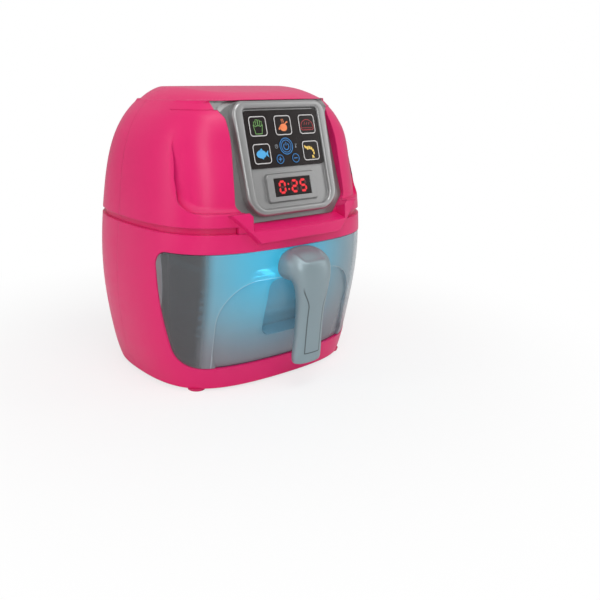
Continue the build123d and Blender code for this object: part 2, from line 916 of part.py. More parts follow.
square_keys = {
    "fries_key": (-key_pitch_x, -key_row_top),
    "chicken_key": (0, -key_row_top),
    "bread_key": (key_pitch_x, -key_row_top),
    "fish_key": (-key_pitch_x, -key_row_bottom),
    "shrimp_key": (key_pitch_x, -key_row_bottom),
}
round_keys = {
    "power_key": (0, -power_drop, power_radius),
    "plus_key": (-sign_key_x, -sign_key_drop, sign_key_radius),
    "minus_key": (sign_key_x, -sign_key_drop, sign_key_radius),
}
floor_top = -panel_thickness
floor_bottom = floor_top - floor_thickness
inner_half = panel_half_width + 3 * key_gap

display_centre = -display_top - display_height / 2
panel_ledge_half = panel_half_width - panel_ledge
with BuildPart() as console_bezel:
    with BuildSketch(console.offset(-plate_depth)):
        add(bezel_outline(
            bezel_half_top, bezel_half_bottom, bezel_top, bezel_bottom, bezel_top_corner, bezel_bottom_corner
        ))
    extrude(amount=plate_depth + bezel_rise)
    fillet(console_bezel.faces().sort_by(Axis((0, 0, 0), console.z_dir))[-1].edges(), bezel_round)
    with BuildSketch(console.offset(floor_top)):
        add(bezel_outline(
            inner_half, inner_half, panel_thickness, bezel_floor_bottom, panel_corner, bezel_floor_corner
        ))
    extrude(amount=2 * bezel_rise + panel_thickness, mode=Mode.SUBTRACT)
    ring_top = console_bezel.faces().sort_by(Axis((0, 0, 0), console.z_dir))[-1]
    fillet(ring_top.inner_wires()[0].edges(), 0.75 * bezel_round)
    with BuildSketch(console.offset(floor_top)):
        with Locations((0, -(surround_top + surround_bottom) / 2)):
            RectangleRounded(2 * surround_half, surround_bottom - surround_top, surround_corner)
    extrude(amount=surround_rise, taper=surround_draft)
    with BuildSketch(console.offset(-plate_depth)):
        with Locations((0, -(board_bottom - board_margin) / 2)):
            Rectangle(2 * panel_ledge_half, board_bottom - 4 * board_margin)
    extrude(amount=plate_depth + floor_bottom, mode=Mode.SUBTRACT)
    with BuildSketch(console.offset(floor_bottom)):
        with Locations((0, -panel_height / 2)):
            Rectangle(2 * panel_ledge_half, panel_height - 2 * panel_ledge)
        with Locations((0, display_centre)):
            Rectangle(2 * window_half_width + 2 * fit_gap, display_height + 2 * fit_gap)
    extrude(amount=3 * floor_thickness, mode=Mode.SUBTRACT)
console_bezel.part.label = "console_bezel"
export_step(console_bezel.part, "parts/console_bezel.step")

with BuildPart() as icon_panel:
    with BuildSketch(console.offset(floor_top)):
        with Locations((0, -panel_height / 2)):
            RectangleRounded(2 * panel_half_width, panel_height, panel_corner)
        with Locations(*square_keys.values()):
            RectangleRounded(
                key_width + 2 * key_gap, key_height + 2 * key_gap, key_corner + key_gap, mode=Mode.SUBTRACT
            )
        for x, y, radius in round_keys.values():
            with Locations((x, y)):
                Circle(radius + key_gap, mode=Mode.SUBTRACT)
    extrude(amount=panel_thickness)
icon_panel.part.label = "icon_panel"
export_step(icon_panel.part, "parts/icon_panel.step")

with BuildPart() as display_window:
    with BuildSketch(console.offset(display_rise - display_thickness)):
        with Locations((0, display_centre)):
            Rectangle(2 * window_half_width, display_height)
    extrude(amount=display_thickness)
display_window.part.label = "display_window"
export_step(display_window.part, "parts/display_window.step")

# Behind the plate: the key board, the sheet of four-sided domes on it, the display module and the chip
board_face = plate_back - dome_sheet_thickness
with BuildPart() as key_board:
    with BuildSketch(console.offset(board_face - board_thickness)):
        with Locations((0, (board_top - board_bottom) / 2)):
            Rectangle(2 * board_half_width, board_top + board_bottom)
        with Locations(*screw_places):
            Circle(board_screw_radius + screw_hole_gap, mode=Mode.SUBTRACT)
    extrude(amount=board_thickness)
key_board.part.label = "key_board"
export_step(key_board.part, "parts/key_board.step")

with BuildPart() as display_module:
    with BuildSketch(console.offset(board_face)):
        with Locations((0, display_centre)):
            Rectangle(2 * (window_half_width - module_margin), display_height - 2 * module_margin)
    extrude(amount=display_rise - display_thickness - board_face)
display_module.part.label = "display_module"
export_step(display_module.part, "parts/display_module.step")

with BuildPart() as control_chip:
    with BuildSketch(console.offset(board_face - board_thickness)):
        with Locations((0, -power_drop)):
            Rectangle(chip_size, chip_size)
    extrude(amount=-chip_thickness)
control_chip.part.label = "control_chip"
export_step(control_chip.part, "parts/control_chip.step")

key_centres = list(square_keys.values()) + [(x, y) for x, y, radius in round_keys.values()]
with BuildPart() as dome_sheet:
    with BuildSketch(console.offset(board_face)):
        with Locations((0, (board_top - panel_height) / 2)):
            Rectangle(2 * board_half_width, board_top + panel_height)
        with Locations(*screw_places):
            Circle(board_screw_radius + screw_hole_gap, mode=Mode.SUBTRACT)
    extrude(amount=dome_sheet_thickness)
    with BuildSketch(console.offset(plate_back)):
        with Locations(*key_centres):
            Rectangle(2 * dome_half, 2 * dome_half)
    extrude(amount=dome_height, taper=50)
dome_sheet.part.label = "dome_sheet"
export_step(dome_sheet.part, "parts/dome_sheet.step")

with BuildPart() as board_screws:
    with BuildSketch(console.offset(board_face - board_thickness)):
        with Locations(*screw_places):
            Circle(board_screw_head)
    extrude(amount=-board_screw_head * 0.6)
    with BuildSketch(console.offset(board_face - board_thickness)):
        with Locations(*screw_places):
            Circle(board_screw_radius)
    extrude(amount=board_thickness + dome_sheet_thickness + board_screw_reach)
board_screws.part.label = "board_screws"
export_step(board_screws.part, "parts/board_screws.step")

# Keys: a cap through the panel, a tab each side that the panel holds back and a stem above its dome
flange_top = floor_top - key_gap
stem_end = plate_back + dome_height + dome_gap + key_travel


def key(shape, centre, half_width, half_height):
    """One key from the sketch of its cap, its centre and the half sizes of the tab behind it."""
    with BuildPart() as cap:
        with BuildSketch(console.offset(flange_top)):
            add(shape)
        extrude(amount=key_rise - flange_top)
        with BuildSketch(console.offset(flange_top)):
            with Locations(centre):
                Rectangle(2 * half_width, 2 * half_height)
        extrude(amount=-key_flange_thickness)
        with BuildSketch(console.offset(stem_end)):
            with Locations(centre):
                Rectangle(2 * key_stem_half, 2 * key_stem_half)
        extrude(amount=flange_top - stem_end)
    return cap.part


for name, (x, y) in square_keys.items():
    with BuildSketch() as key_shape:
        with Locations((x, y)):
            RectangleRounded(key_width, key_height, key_corner)
    square_key = key(key_shape.sketch, (x, y), key_width / 2 + key_flange, key_height / 2 - key_corner)
    square_key.label = name
    export_step(square_key, f"parts/{name}.step")

for name, (x, y, radius) in round_keys.items():
    with BuildSketch() as key_shape:
        with Locations((x, y)):
            Circle(radius)
    round_key = key(key_shape.sketch, (x, y), radius + key_flange, radius / 2)
    round_key.label = name
    export_step(round_key, f"parts/{name}.step")

# Drawer front: a clear wall that follows the body, with an arch-shaped step and a finger pocket
with BuildSketch(Plane.XZ) as arch_sketch:
    with Locations((0, (arch_top + base_level) / 2)):
        Rectangle(2 * arch_half_width, arch_top - base_level)
    fillet(arch_sketch.vertices().group_by(Axis.Z)[-1], arch_corner)


def arch_prism(grow):
    """The arch-shaped area of the drawer front, grown sideways."""
    with BuildPart() as prism:
        with BuildSketch(Plane.XZ) as outline:
            add(arch_sketch.sketch)
            if grow:
                offset(amount=grow)
        extrude(amount=far / 2)
    return prism.part


with BuildPart() as arch_step:
    add(arch_prism(0))
    add(barrel(front_gap + arch_depth), mode=Mode.SUBTRACT)

with BuildPart() as front_outside:
    add(barrel(front_gap))
    add(drawer_profile(window_gap), mode=Mode.INTERSECT)
    add(arch_step.part, mode=Mode.SUBTRACT)

with BuildPart() as arch_backing:
    add(arch_prism(front_wall))
    add(barrel(front_gap + arch_depth + front_wall), mode=Mode.SUBTRACT)

with BuildPart() as front_inside:
    add(barrel(front_gap + front_wall))
    add(arch_backing.part, mode=Mode.SUBTRACT)


def pocket_prism(grow, back, rise):
    """The finger pocket, grown all round, from a depth out through the front."""
    with BuildPart() as prism:
        with BuildSketch(Plane.XZ.offset(back)) as inner:
            with BuildLine():
                Polyline(
                    (pocket_half_top + grow, pocket_top + grow),
                    (pocket_half_bottom + grow, pocket_bottom - grow + rise),
                    (-pocket_half_bottom - grow, pocket_bottom - grow + rise),
                    (-pocket_half_top - grow, pocket_top + grow),
                    close=True,
                )
            make_face()
            fillet(inner.vertices(), pocket_corner + grow)
        with BuildSketch(Plane.XZ.offset(waist_half_depth + lip_reach)) as outer:
            with BuildLine():
                Polyline(
                    (pocket_half_top + grow, pocket_top + grow),
                    (pocket_half_bottom + grow, pocket_bottom - grow),
                    (-pocket_half_bottom - grow, pocket_bottom - grow),
                    (-pocket_half_top - grow, pocket_top + grow),
                    close=True,
                )
            make_face()
            fillet(outer.vertices(), pocket_corner + grow)
        loft()
    return prism.part


with BuildPart() as pocket_walls:
    add(pocket_prism(pocket_wall, pocket_back - pocket_wall, pocket_floor_rise))
    add(front_outside.part, mode=Mode.INTERSECT)

handle_screw_places = [(handle_screw_spread, handle_stations[0][1])]
screw_face_y = waist_half_depth - front_gap - front_wall
head_hole_radius = handle_screw_head + fit_gap
with BuildPart() as drawer_front:
    add(front_outside.part)
    add(front_inside.part, mode=Mode.SUBTRACT)
    add(pocket_walls.part)
    add(pocket_prism(0, pocket_back, pocket_floor_rise), mode=Mode.SUBTRACT)
    add(
        screw_well_bars(handle_screw_places, -far / 2, 0, handle_screw_radius + screw_hole_gap),
        mode=Mode.SUBTRACT,
    )
    add(screw_well_bars(handle_screw_places, -screw_face_y, 0, head_hole_radius), mode=Mode.SUBTRACT)
drawer_front.part.label = "drawer_front"
export_step(drawer_front.part, "parts/drawer_front.step")

# Handle: a neck out of the drawer front, an elbow and a slim grip with a free lower end
with BuildPart() as handle_solid:
    for reach, level, half_width, half_thickness, lean in handle_stations:
        heading = (0, -cos(radians(lean)), -sin(radians(lean)))
        with BuildSketch(Plane(origin=(0, -reach, level), x_dir=(1, 0, 0), z_dir=heading)):
            with BuildLine():
                rounded_outline(half_width, half_thickness, handle_fullness)
            make_face()
    loft()

with BuildPart() as cover_area:
    with BuildSketch(Plane.XZ.offset(cover_root)) as cover_sketch:
        with BuildLine():
            Polyline(
                *mirrored([
                    (cover_top_half, cover_top),
                    (cover_waist_half, cover_waist),
                    (cover_foot_half, cover_bottom),
                ]),
                close=True,
            )
        make_face()
        fillet(cover_sketch.vertices(), cover_corner)
    extrude(amount=far / 4)
    add(handle_solid.part.moved(Location((0, cover_thickness, 0))), mode=Mode.SUBTRACT)

with BuildPart() as handle_cover:
    add(handle_solid.part)
    add(cover_area.part, mode=Mode.INTERSECT)
handle_cover.part.label = "handle_cover"
export_step(handle_cover.part, "parts/handle_cover.step")

with BuildPart() as handle_body:
    add(handle_solid.part)
    add(barrel(front_gap), mode=Mode.SUBTRACT)
    add(cover_area.part, mode=Mode.SUBTRACT)
    add(
        screw_well_bars(
            handle_screw_places, -screw_face_y - handle_screw_depth, 0, handle_screw_radius + screw_hole_gap
        ),
        mode=Mode.SUBTRACT,
    )
handle_body.part.label = "handle_body"
export_step(handle_body.part, "parts/handle_body.step")

with BuildPart() as handle_screws:
    for x, level in handle_screw_places:
        add(pillars(x, level, handle_screw_radius, -screw_face_y - handle_screw_depth + 1, -screw_face_y))
        add(pillars(x, level, handle_screw_head, -screw_face_y, -screw_face_y + screw_head_height))
handle_screws.part.label = "handle_screws"
export_step(handle_screws.part, "parts/handle_screws.step")

# Drawer tub: smoky floor, sides and back; the drawer front closes it
tub_reach = front_gap + arch_depth + front_wall + front_gap


def tub_block(inset):
    """The tub's block, set in from its outside on the sides, the back and the bottom."""
    half = tub_half_width - inset
    low = tub_bottom + inset
    with BuildPart() as block:
        with BuildSketch(Plane.XZ.offset(-tub_back + inset)) as section:
            with Locations((0, (low + tub_rim_level) / 2)):
                Rectangle(2 * half, tub_rim_level - low)
            fillet(section.vertices().group_by(Axis.Z)[0], tub_corner - inset)
        extrude(amount=far / 2)
    return block.part


with BuildPart() as drawer_tub:
    add(tub_block(0))
    with BuildSketch(Plane.XY.offset(tub_rim_level - tub_rim_thickness)):
        with Locations((0, tub_back - far / 4)):
            Rectangle(2 * (tub_half_width + tub_rim_reach), far / 2)
    extrude(amount=tub_rim_thickness)
    add(barrel(tub_reach), mode=Mode.INTERSECT)
    add(tub_block(tub_wall), mode=Mode.SUBTRACT)
drawer_tub.part.label = "drawer_tub"
export_step(drawer_tub.part, "parts/drawer_tub.step")

# Crisper rack: a border, cross bars and four feet that stand on the tub's floor
slot_height = (rack_front + rack_back - 2 * rack_border - (rack_slots - 1) * rack_bar) / rack_slots
slot_length = rack_half_width - rack_border - rack_bar / 2
with BuildPart() as crisper_rack:
    with BuildSketch(Plane.XY.offset(rack_level)):
        with Locations((0, (rack_back - rack_front) / 2)):
            RectangleRounded(2 * rack_half_width, rack_front + rack_back, rack_corner)
            with GridLocations(slot_length + rack_bar, slot_height + rack_bar, 2, rack_slots):
                Rectangle(slot_length, slot_height, mode=Mode.SUBTRACT)
    extrude(amount=rack_thickness)
    with BuildSketch(Plane.XY.offset(rack_level)):
        with Locations((0, (rack_back - rack_front) / 2)):
            with GridLocations(
                2 * (rack_half_width - rack_foot_inset), rack_front + rack_back - 2 * rack_foot_inset, 2, 2
            ):
                Rectangle(2 * rack_foot_half, 2 * rack_foot_half)
    extrude(amount=tub_bottom + tub_wall - rack_level)
crisper_rack.part.label = "crisper_rack"
export_step(crisper_rack.part, "parts/crisper_rack.step")
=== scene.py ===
import bmesh
import bpy
from math import copysign, cos, pi, radians, sin, sqrt
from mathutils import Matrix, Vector


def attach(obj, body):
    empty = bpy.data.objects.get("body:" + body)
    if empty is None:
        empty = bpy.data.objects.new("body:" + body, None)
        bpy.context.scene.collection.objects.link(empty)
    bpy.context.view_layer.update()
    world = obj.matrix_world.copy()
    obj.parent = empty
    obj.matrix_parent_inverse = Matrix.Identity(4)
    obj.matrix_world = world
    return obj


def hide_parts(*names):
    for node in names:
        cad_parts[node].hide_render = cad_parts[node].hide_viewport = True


bl_info = {
    "name": "Toy air fryer",
    "version": (1, 0, 0),
    "blender": (4, 5, 0),
    "location": "3D View > Sidebar > Toy air fryer",
    "description": "Builds the outside and the finishes of a toy air fryer on its packed frame",
    "category": "Object",
}

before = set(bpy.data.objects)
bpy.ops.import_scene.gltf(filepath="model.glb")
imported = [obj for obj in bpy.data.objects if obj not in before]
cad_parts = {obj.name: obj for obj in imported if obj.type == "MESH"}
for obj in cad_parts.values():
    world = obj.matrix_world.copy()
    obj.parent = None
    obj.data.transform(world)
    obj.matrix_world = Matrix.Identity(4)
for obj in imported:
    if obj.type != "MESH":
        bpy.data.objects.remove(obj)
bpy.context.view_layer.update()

MM = 0.001
SMALL = 1e-6
WHITE = (1, 1, 1, 1)
BLACK = (0, 0, 0)

# Blender's sockets of the colour Mix node
MIX_COLOURS = (6, 7)
MIX_RESULT = 2

# How near corners lie before they are one, and the thinnest face that is kept
MERGE = 0.002 * MM
MERGE_RESHAPED = 0.05 * MM
MERGE_PRINT = 0.001 * MM
THINNEST = 0.02 * MM

# The console's own frame: u across, v up the panel, and out of it
CONSOLE_ORIGIN = Vector((0, -60.2, 196.1)) * MM
CONSOLE_TILT = radians(15.5)
CONSOLE_UP = Vector((0, sin(CONSOLE_TILT), cos(CONSOLE_TILT)))
CONSOLE_OUT = Vector((0, -cos(CONSOLE_TILT), sin(CONSOLE_TILT)))

# Where the keys, marks and display lie on the console, in millimetres
SQUARE_KEYS = {
    "fries_key": (-22.3, -11.1),
    "chicken_key": (0, -11.1),
    "bread_key": (22.3, -11.1),
    "fish_key": (-22.3, -30.3),
    "shrimp_key": (22.3, -30.3),
}
ROUND_KEYS = {
    "power_key": (0, -26.0),
    "plus_key": (-7.1, -34.9),
    "minus_key": (7.1, -34.9),
}
CLOCK_PLACE, THERMOMETER_PLACE = (-8.6, -25.8), (8.8, -26.0)
DISPLAY_LEVEL = -54.5
KEY_TOP, GLASS_TOP = 0.3, 0.6
OUTLINE_HALF, OUTLINE_CORNER = (7.2, 6.7), 2.2

# The body's stations: level, half width and half depth, in millimetres
BODY_STATIONS = [
    (2.0, 83.8, 68.6),
    (30.0, 91.0, 73.6),
    (63.0, 94.9, 79.3),
    (103.0, 93.9, 84.4),
    (140.0, 90.6, 81.8),
    (174.0, 84.7, 72.4),
    (191.0, 76.8, 64.5),
    (203.0, 66.5, 55.2),
]
BODY_FULLNESS = 0.796
HALVINGS = 24

# How sharp an edge may be and still look smooth, and how far a face may lean and still lie along the body
SMOOTH_ANGLE = radians(30)
ALONG_BODY = cos(radians(22))

# The roof cap: half width, half depth, level and rise of its brim, in millimetres, and how far each is drawn
ROOF_CAP = (64.5, 53.2, 203.0, 9.0)
ROOF_SIDE, ROOF_SIDE_TOP = 1.012, 0.85
ROOF_FRONT, ROOF_BACK, ROOF_DEPTH_TOP = 1.05, 1.02, 0.84
ROOF_FALL = 4.5

# The step of the front: its depth and its side edge by level, and where it runs out, in millimetres, and the share
# of the body's outline that still counts as on it
STEP_DEPTHS = ((140, 2.5), (174, 2.0), (191, 1.0), (203, 0.25))
STEP_EDGES = ((130, 81.5), (152, 81.5), (174, 78.7), (197, 70.0))
STEP_FADE = (150, 184)
STEP_BOTTOM, STEP_SIDE = STEP_EDGES[0]
STEP_TOP = 197.5
BODY_EDGE = 1.001

# The middle of the chamber lamp's light, painted as a glow on the clear front, the liner and the tub, in millimetres
LAMP_ON_FRONT = (-20, -84, 100)
LAMP_ON_LINER = (0, -45, 100)
LAMP_ON_TUB = (0, -60, 92)


def tint(name, description, default):
    """A colour setting."""
    return bpy.props.FloatVectorProperty(name=name, description=description, subtype="COLOR", size=3, default=default)


def length(name, description, default, least, most):
    """A length setting, in millimetres."""
    return bpy.props.FloatProperty(name=name, description=description, default=default, min=least, max=most)


class FryerColours(bpy.types.PropertyGroup):
    """Colours of the finishes."""

    shell: tint("Shell", "Pink of the housing", (0.74, 0.012, 0.145))
    shell_deep: tint("Shell shade", "Deeper pink", (0.64, 0.007, 0.12))
    silver: tint("Silver", "Silver of the bezel", (0.33, 0.33, 0.33))
    silver_dark: tint("Plate", "Darker silver of the plate", (0.25, 0.25, 0.25))
    panel: tint("Panel", "Black of the key panel", (0.010, 0.006, 0.006))
    handle: tint("Handle", "Grey of the handle", (0.26, 0.335, 0.365))
    glow: tint("Glow", "Light in the chamber", (0.06, 0.50, 0.72))
    clear: tint("Clear front", "Tint of the clear front", (0.33, 0.43, 0.48))
    smoke: tint("Smoke", "Tint of the tub", (0.10, 0.10, 0.105))


class FryerSizes(bpy.types.PropertyGroup):
    """Sizes of the printed and moulded details, in millimetres."""

    outline_width: length("Key outline", "Width of the printed line round a key", 0.65, 0.1, 2)
    icon_line: length("Icon line", "Width of a line in an icon", 0.5, 0.1, 2)
    print_height: length("Print height", "How far a print stands up", 0.05, 0.01, 0.3)
    digit_height: length("Digit height", "Height of a digit", 9.6, 2, 12)
    edge_round: length("Edge rounding", "How soft a moulded edge looks", 1.2, 0, 3)


def point(u, v, out=0):
    """A place on the console, from millimetres across, up and out."""
    return CONSOLE_ORIGIN + MM * (Vector((u, 0, 0)) + v * CONSOLE_UP + out * CONSOLE_OUT)


def only(piece):
    """Leaves just one object selected and active, in object mode."""
    if bpy.context.object and bpy.context.object.mode != "OBJECT":
        bpy.ops.object.mode_set(mode="OBJECT")
    bpy.ops.object.select_all(action="DESELECT")
    piece.select_set(True)
    bpy.context.view_layer.objects.active = piece


def deselect():
    """Leaves nothing selected, in object mode."""
    if bpy.context.object and bpy.context.object.mode != "OBJECT":
        bpy.ops.object.mode_set(mode="OBJECT")
    bpy.ops.object.select_all(action="DESELECT")


def settle(piece):
    """Puts an object's place into its mesh."""
    only(piece)
    bpy.ops.object.transform_apply(location=True, rotation=True, scale=True)


def finish_piece(piece, body, material, slot, *nodes):
    """Gives a piece its material and the body that it rides on, and hides the nodes that it stands for; the slot is
    not used.
    """
    piece.data.materials.clear()
    piece.data.materials.append(material)
    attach(piece, body)
    if nodes:
        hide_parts(*nodes)


def from_faces(name, corners, faces):
    """A new mesh object from its corners and faces."""
    mesh = bpy.data.meshes.new(name)
    mesh.from_pydata([tuple(corner) for corner in corners], [], faces)
    mesh.update()
    piece = bpy.data.objects.new(name, mesh)
    bpy.context.scene.collection.objects.link(piece)
    return piece


# Shader nodes


def node(tree, kind, **values):
    """Adds a shader node and sets its properties."""
    made = tree.nodes.new(kind)
    for key, value in values.items():
        setattr(made, key, value)
    return made


def math_node(tree, operation, first, second=None):
    """A Math node fed by sockets or numbers."""
    made = node(tree, "ShaderNodeMath", operation=operation)
    for index, value in enumerate((first, second)):
        if value is None:
            continue
        if isinstance(value, (int, float)):
            made.inputs[index].default_value = value
        else:
            tree.links.new(value, made.inputs[index])
    return made.outputs[0]


def map_range(tree, value, low, high, new_low=0.0, new_high=1.0):
    """A smooth Map Range node's output."""
    made = node(tree, "ShaderNodeMapRange", interpolation_type="SMOOTHSTEP")
    tree.links.new(value, made.inputs["Value"])
    for key, end in (("From Min", low), ("From Max", high), ("To Min", new_low), ("To Max", new_high)):
        made.inputs[key].default_value = end
    return made.outputs["Result"]


def mix_colour(tree, factor, first, second):
    """A mix of two colours, each a socket or a plain colour."""
    made = node(tree, "ShaderNodeMix", data_type="RGBA")
    tree.links.new(factor, made.inputs[0])
    for index, value in zip(MIX_COLOURS, (first, second)):
        if isinstance(value, bpy.types.NodeSocket):
            tree.links.new(value, made.inputs[index])
        else:
            made.inputs[index].default_value = (*value[:3], 1)
    return made.outputs[MIX_RESULT]


def noise(tree, place, scale, detail=2.0):
    """A Noise Texture's output, with its scale from a socket or a number."""
    made = node(tree, "ShaderNodeTexNoise")
    made.inputs["Detail"].default_value = detail
    tree.links.new(place, made.inputs["Vector"])
    if isinstance(scale, (int, float)):
        made.inputs["Scale"].default_value = scale
    else:
        tree.links.new(scale, made.inputs["Scale"])
    return made.outputs["Fac"]


# The moulded group's sockets
MOULDED_INPUTS = (
    ("Colour", "NodeSocketColor", (0.8, 0.8, 0.8, 1)),
    ("Shade", "NodeSocketColor", (0.6, 0.6, 0.6, 1)),
    ("Tone", "NodeSocketFloat", 0.3),
    ("Roughness", "NodeSocketFloat", 0.3),
    ("Scuffs", "NodeSocketFloat", 0.05),
    ("Grain Scale", "NodeSocketFloat", 900.0),
)
MOULDED_OUTPUTS = (("Colour", "NodeSocketColor"), ("Roughness", "NodeSocketFloat"), ("Height", "NodeSocketFloat"))


def moulded_surface():
    """The group for moulded plastic: slow changes of tone, fine scuffs and a faint grain."""
    tree = bpy.data.node_groups.new("moulded_surface", "ShaderNodeTree")
    for name, kind, value in MOULDED_INPUTS:
        tree.interface.new_socket(name=name, in_out="INPUT", socket_type=kind).default_value = value
    for name, kind in MOULDED_OUTPUTS:
        tree.interface.new_socket(name=name, in_out="OUTPUT", socket_type=kind)
    entry = node(tree, "NodeGroupInput").outputs
    leave = node(tree, "NodeGroupOutput").inputs
    place = node(tree, "ShaderNodeTexCoord").outputs["Object"]
    slow = map_range(tree, noise(tree, place, 14.0), 0.35, 0.7)
    streak = map_range(tree, noise(tree, place, 120.0, 4.0), 0.45, 0.75)
    colour = mix_colour(tree, math_node(tree, "MULTIPLY", slow, entry["Tone"]), entry["Colour"], entry["Shade"])
    worn = math_node(tree, "MULTIPLY", streak, entry["Scuffs"])
    tree.links.new(colour, leave["Colour"])
    tree.links.new(math_node(tree, "ADD", entry["Roughness"], worn), leave["Roughness"])
    tree.links.new(noise(tree, place, entry["Grain Scale"]), leave["Height"])
    return tree


# Node groups, made once
GROUPS = {}


def plastic(name, colour, shade, roughness, tone=0.3, scuffs=0.05, grain=0.03, grain_scale=900.0, soft=0.0, **fixed):
    """A moulded plastic or painted finish. Returns the material and its main shader."""
    if "moulded" not in GROUPS:
        GROUPS["moulded"] = moulded_surface()
    material = bpy.data.materials.new(name)
    material.use_nodes = True
    tree = material.node_tree
    shader = tree.nodes["Principled BSDF"]
    surface = node(tree, "ShaderNodeGroup")
    surface.node_tree = GROUPS["moulded"]
    values = ((*colour, 1), (*shade, 1), tone, roughness, scuffs, grain_scale)
    for (key, _, _), value in zip(MOULDED_INPUTS, values):
        surface.inputs[key].default_value = value
    bump = node(tree, "ShaderNodeBump")
    bump.inputs["Strength"].default_value = grain
    bump.inputs["Distance"].default_value = 0.05 * MM
    tree.links.new(surface.outputs["Height"], bump.inputs["Height"])
    if soft:
        rounding = node(tree, "ShaderNodeBevel", samples=4)
        rounding.inputs["Radius"].default_value = soft * MM
        tree.links.new(rounding.outputs["Normal"], bump.inputs["Normal"])
    tree.links.new(surface.outputs["Colour"], shader.inputs["Base Color"])
    tree.links.new(surface.outputs["Roughness"], shader.inputs["Roughness"])
    tree.links.new(bump.outputs["Normal"], shader.inputs["Normal"])
    for key, value in fixed.items():
        shader.inputs[key.replace("_", " ").title().replace("Ior", "IOR")].default_value = value
    return material, shader


def glow_amount(tree, centre, near, far_off):
    """How near the lamp a place is, from 1 to 0, by Object coordinates."""
    place = node(tree, "ShaderNodeTexCoord").outputs["Object"]
    distance = node(tree, "ShaderNodeVectorMath", operation="DISTANCE")
    tree.links.new(place, distance.inputs[0])
    distance.inputs[1].default_value = [value * MM for value in centre]
    return map_range(tree, distance.outputs["Value"], near * MM, far_off * MM, 1.0, 0.0)


def axis_value(tree, axis):
    """One Object coordinate, in millimetres."""
    split = node(tree, "ShaderNodeSeparateXYZ")
    tree.links.new(node(tree, "ShaderNodeTexCoord").outputs["Object"], split.inputs[0])
    return math_node(tree, "MULTIPLY", split.outputs[axis], 1 / MM)


def product(tree, *values):
    """Several masks multiplied together."""
    total = values[0]
    for value in values[1:]:
        total = math_node(tree, "MULTIPLY", total, value)
    return total


def corner_distance(tree, across, along):
    """How far a place lies from a corner's middle, round the corner outside it and straight inside it."""
    across_out = math_node(tree, "MAXIMUM", across, 0.0)
    along_out = math_node(tree, "MAXIMUM", along, 0.0)
    squares = math_node(
        tree,
        "ADD",
        math_node(tree, "MULTIPLY", across_out, across_out),
        math_node(tree, "MULTIPLY", along_out, along_out),
    )
    inner = math_node(tree, "MINIMUM", math_node(tree, "MAXIMUM", across, along), 0.0)
    return math_node(tree, "ADD", math_node(tree, "SQRT", squares), inner)


def crease_height(tree):
    """How deep the front lies inside its crease, in millimetres below the body, fading out at the top."""
    lean_start, lean_span, lean_bend, lean_most = 146.0, 51.0, 2.2, 11.5
    corner, depth, slope_in, slope_out = 14.0, 2.2, -4.5, 2.0
    fade_foot, fade_top, fade_front, fade_back = 168.0, 195.0, -16.0, -8.0
    across = math_node(tree, "ABSOLUTE", axis_value(tree, "X"))
    level = axis_value(tree, "Z")
    over = math_node(tree, "DIVIDE", math_node(tree, "SUBTRACT", level, lean_start), lean_span)
    lift = math_node(tree, "MAXIMUM", over, 0.0)
    lean = math_node(tree, "MULTIPLY", math_node(tree, "POWER", lift, lean_bend), lean_most)
    side = math_node(tree, "ADD", math_node(tree, "SUBTRACT", across, STEP_SIDE), lean)
    below = math_node(tree, "SUBTRACT", STEP_BOTTOM, level)
    side_in = math_node(tree, "ADD", side, corner)
    below_in = math_node(tree, "ADD", below, corner)
    away = math_node(tree, "SUBTRACT", corner_distance(tree, side_in, below_in), corner)
    return product(
        tree,
        map_range(tree, away, slope_in, slope_out, -depth, 0),
        map_range(tree, level, fade_top, fade_foot),
        map_range(tree, axis_value(tree, "Y"), fade_back, fade_front),
    )


def shell_material(look, soft):
    """Pink plastic with a soft crease, painted silver between the console plate and the roof's brim."""
    material, shader = plastic(
        "pink_gloss", look.shell, look.shell_deep, 0.34, tone=0.2, soft=soft, specular_ior_level=0.26,
        coat_weight=0.12, coat_roughness=0.3,
    )
    tree = material.node_tree
    across = math_node(tree, "ABSOLUTE", axis_value(tree, "X"))
    level = axis_value(tree, "Z")
    strip_half, strip_foot, strip_top, strip_back = 51.0, 196.6, 202.6, -42.5
    strip = product(
        tree,
        map_range(tree, across, strip_half, strip_half + 0.6, 1, 0),
        map_range(tree, level, strip_foot, strip_foot + 0.4),
        map_range(tree, level, strip_top, strip_top + 0.3, 1, 0),
        map_range(tree, axis_value(tree, "Y"), strip_back, strip_back + 1, 1, 0),
    )
    plain = shader.inputs["Base Color"].links[0].from_socket
    tree.links.new(mix_colour(tree, strip, plain, look.silver_dark), shader.inputs["Base Color"])
    grain = shader.inputs["Normal"].links[0].from_node
    crease = node(tree, "ShaderNodeBump")
    crease.inputs["Strength"].default_value = 1.0
    crease.inputs["Distance"].default_value = MM
    tree.links.new(crease_height(tree), crease.inputs["Height"])
    tree.links.new(grain.outputs["Normal"], crease.inputs["Normal"])
    tree.links.new(crease.outputs["Normal"], shader.inputs["Normal"])
    return material


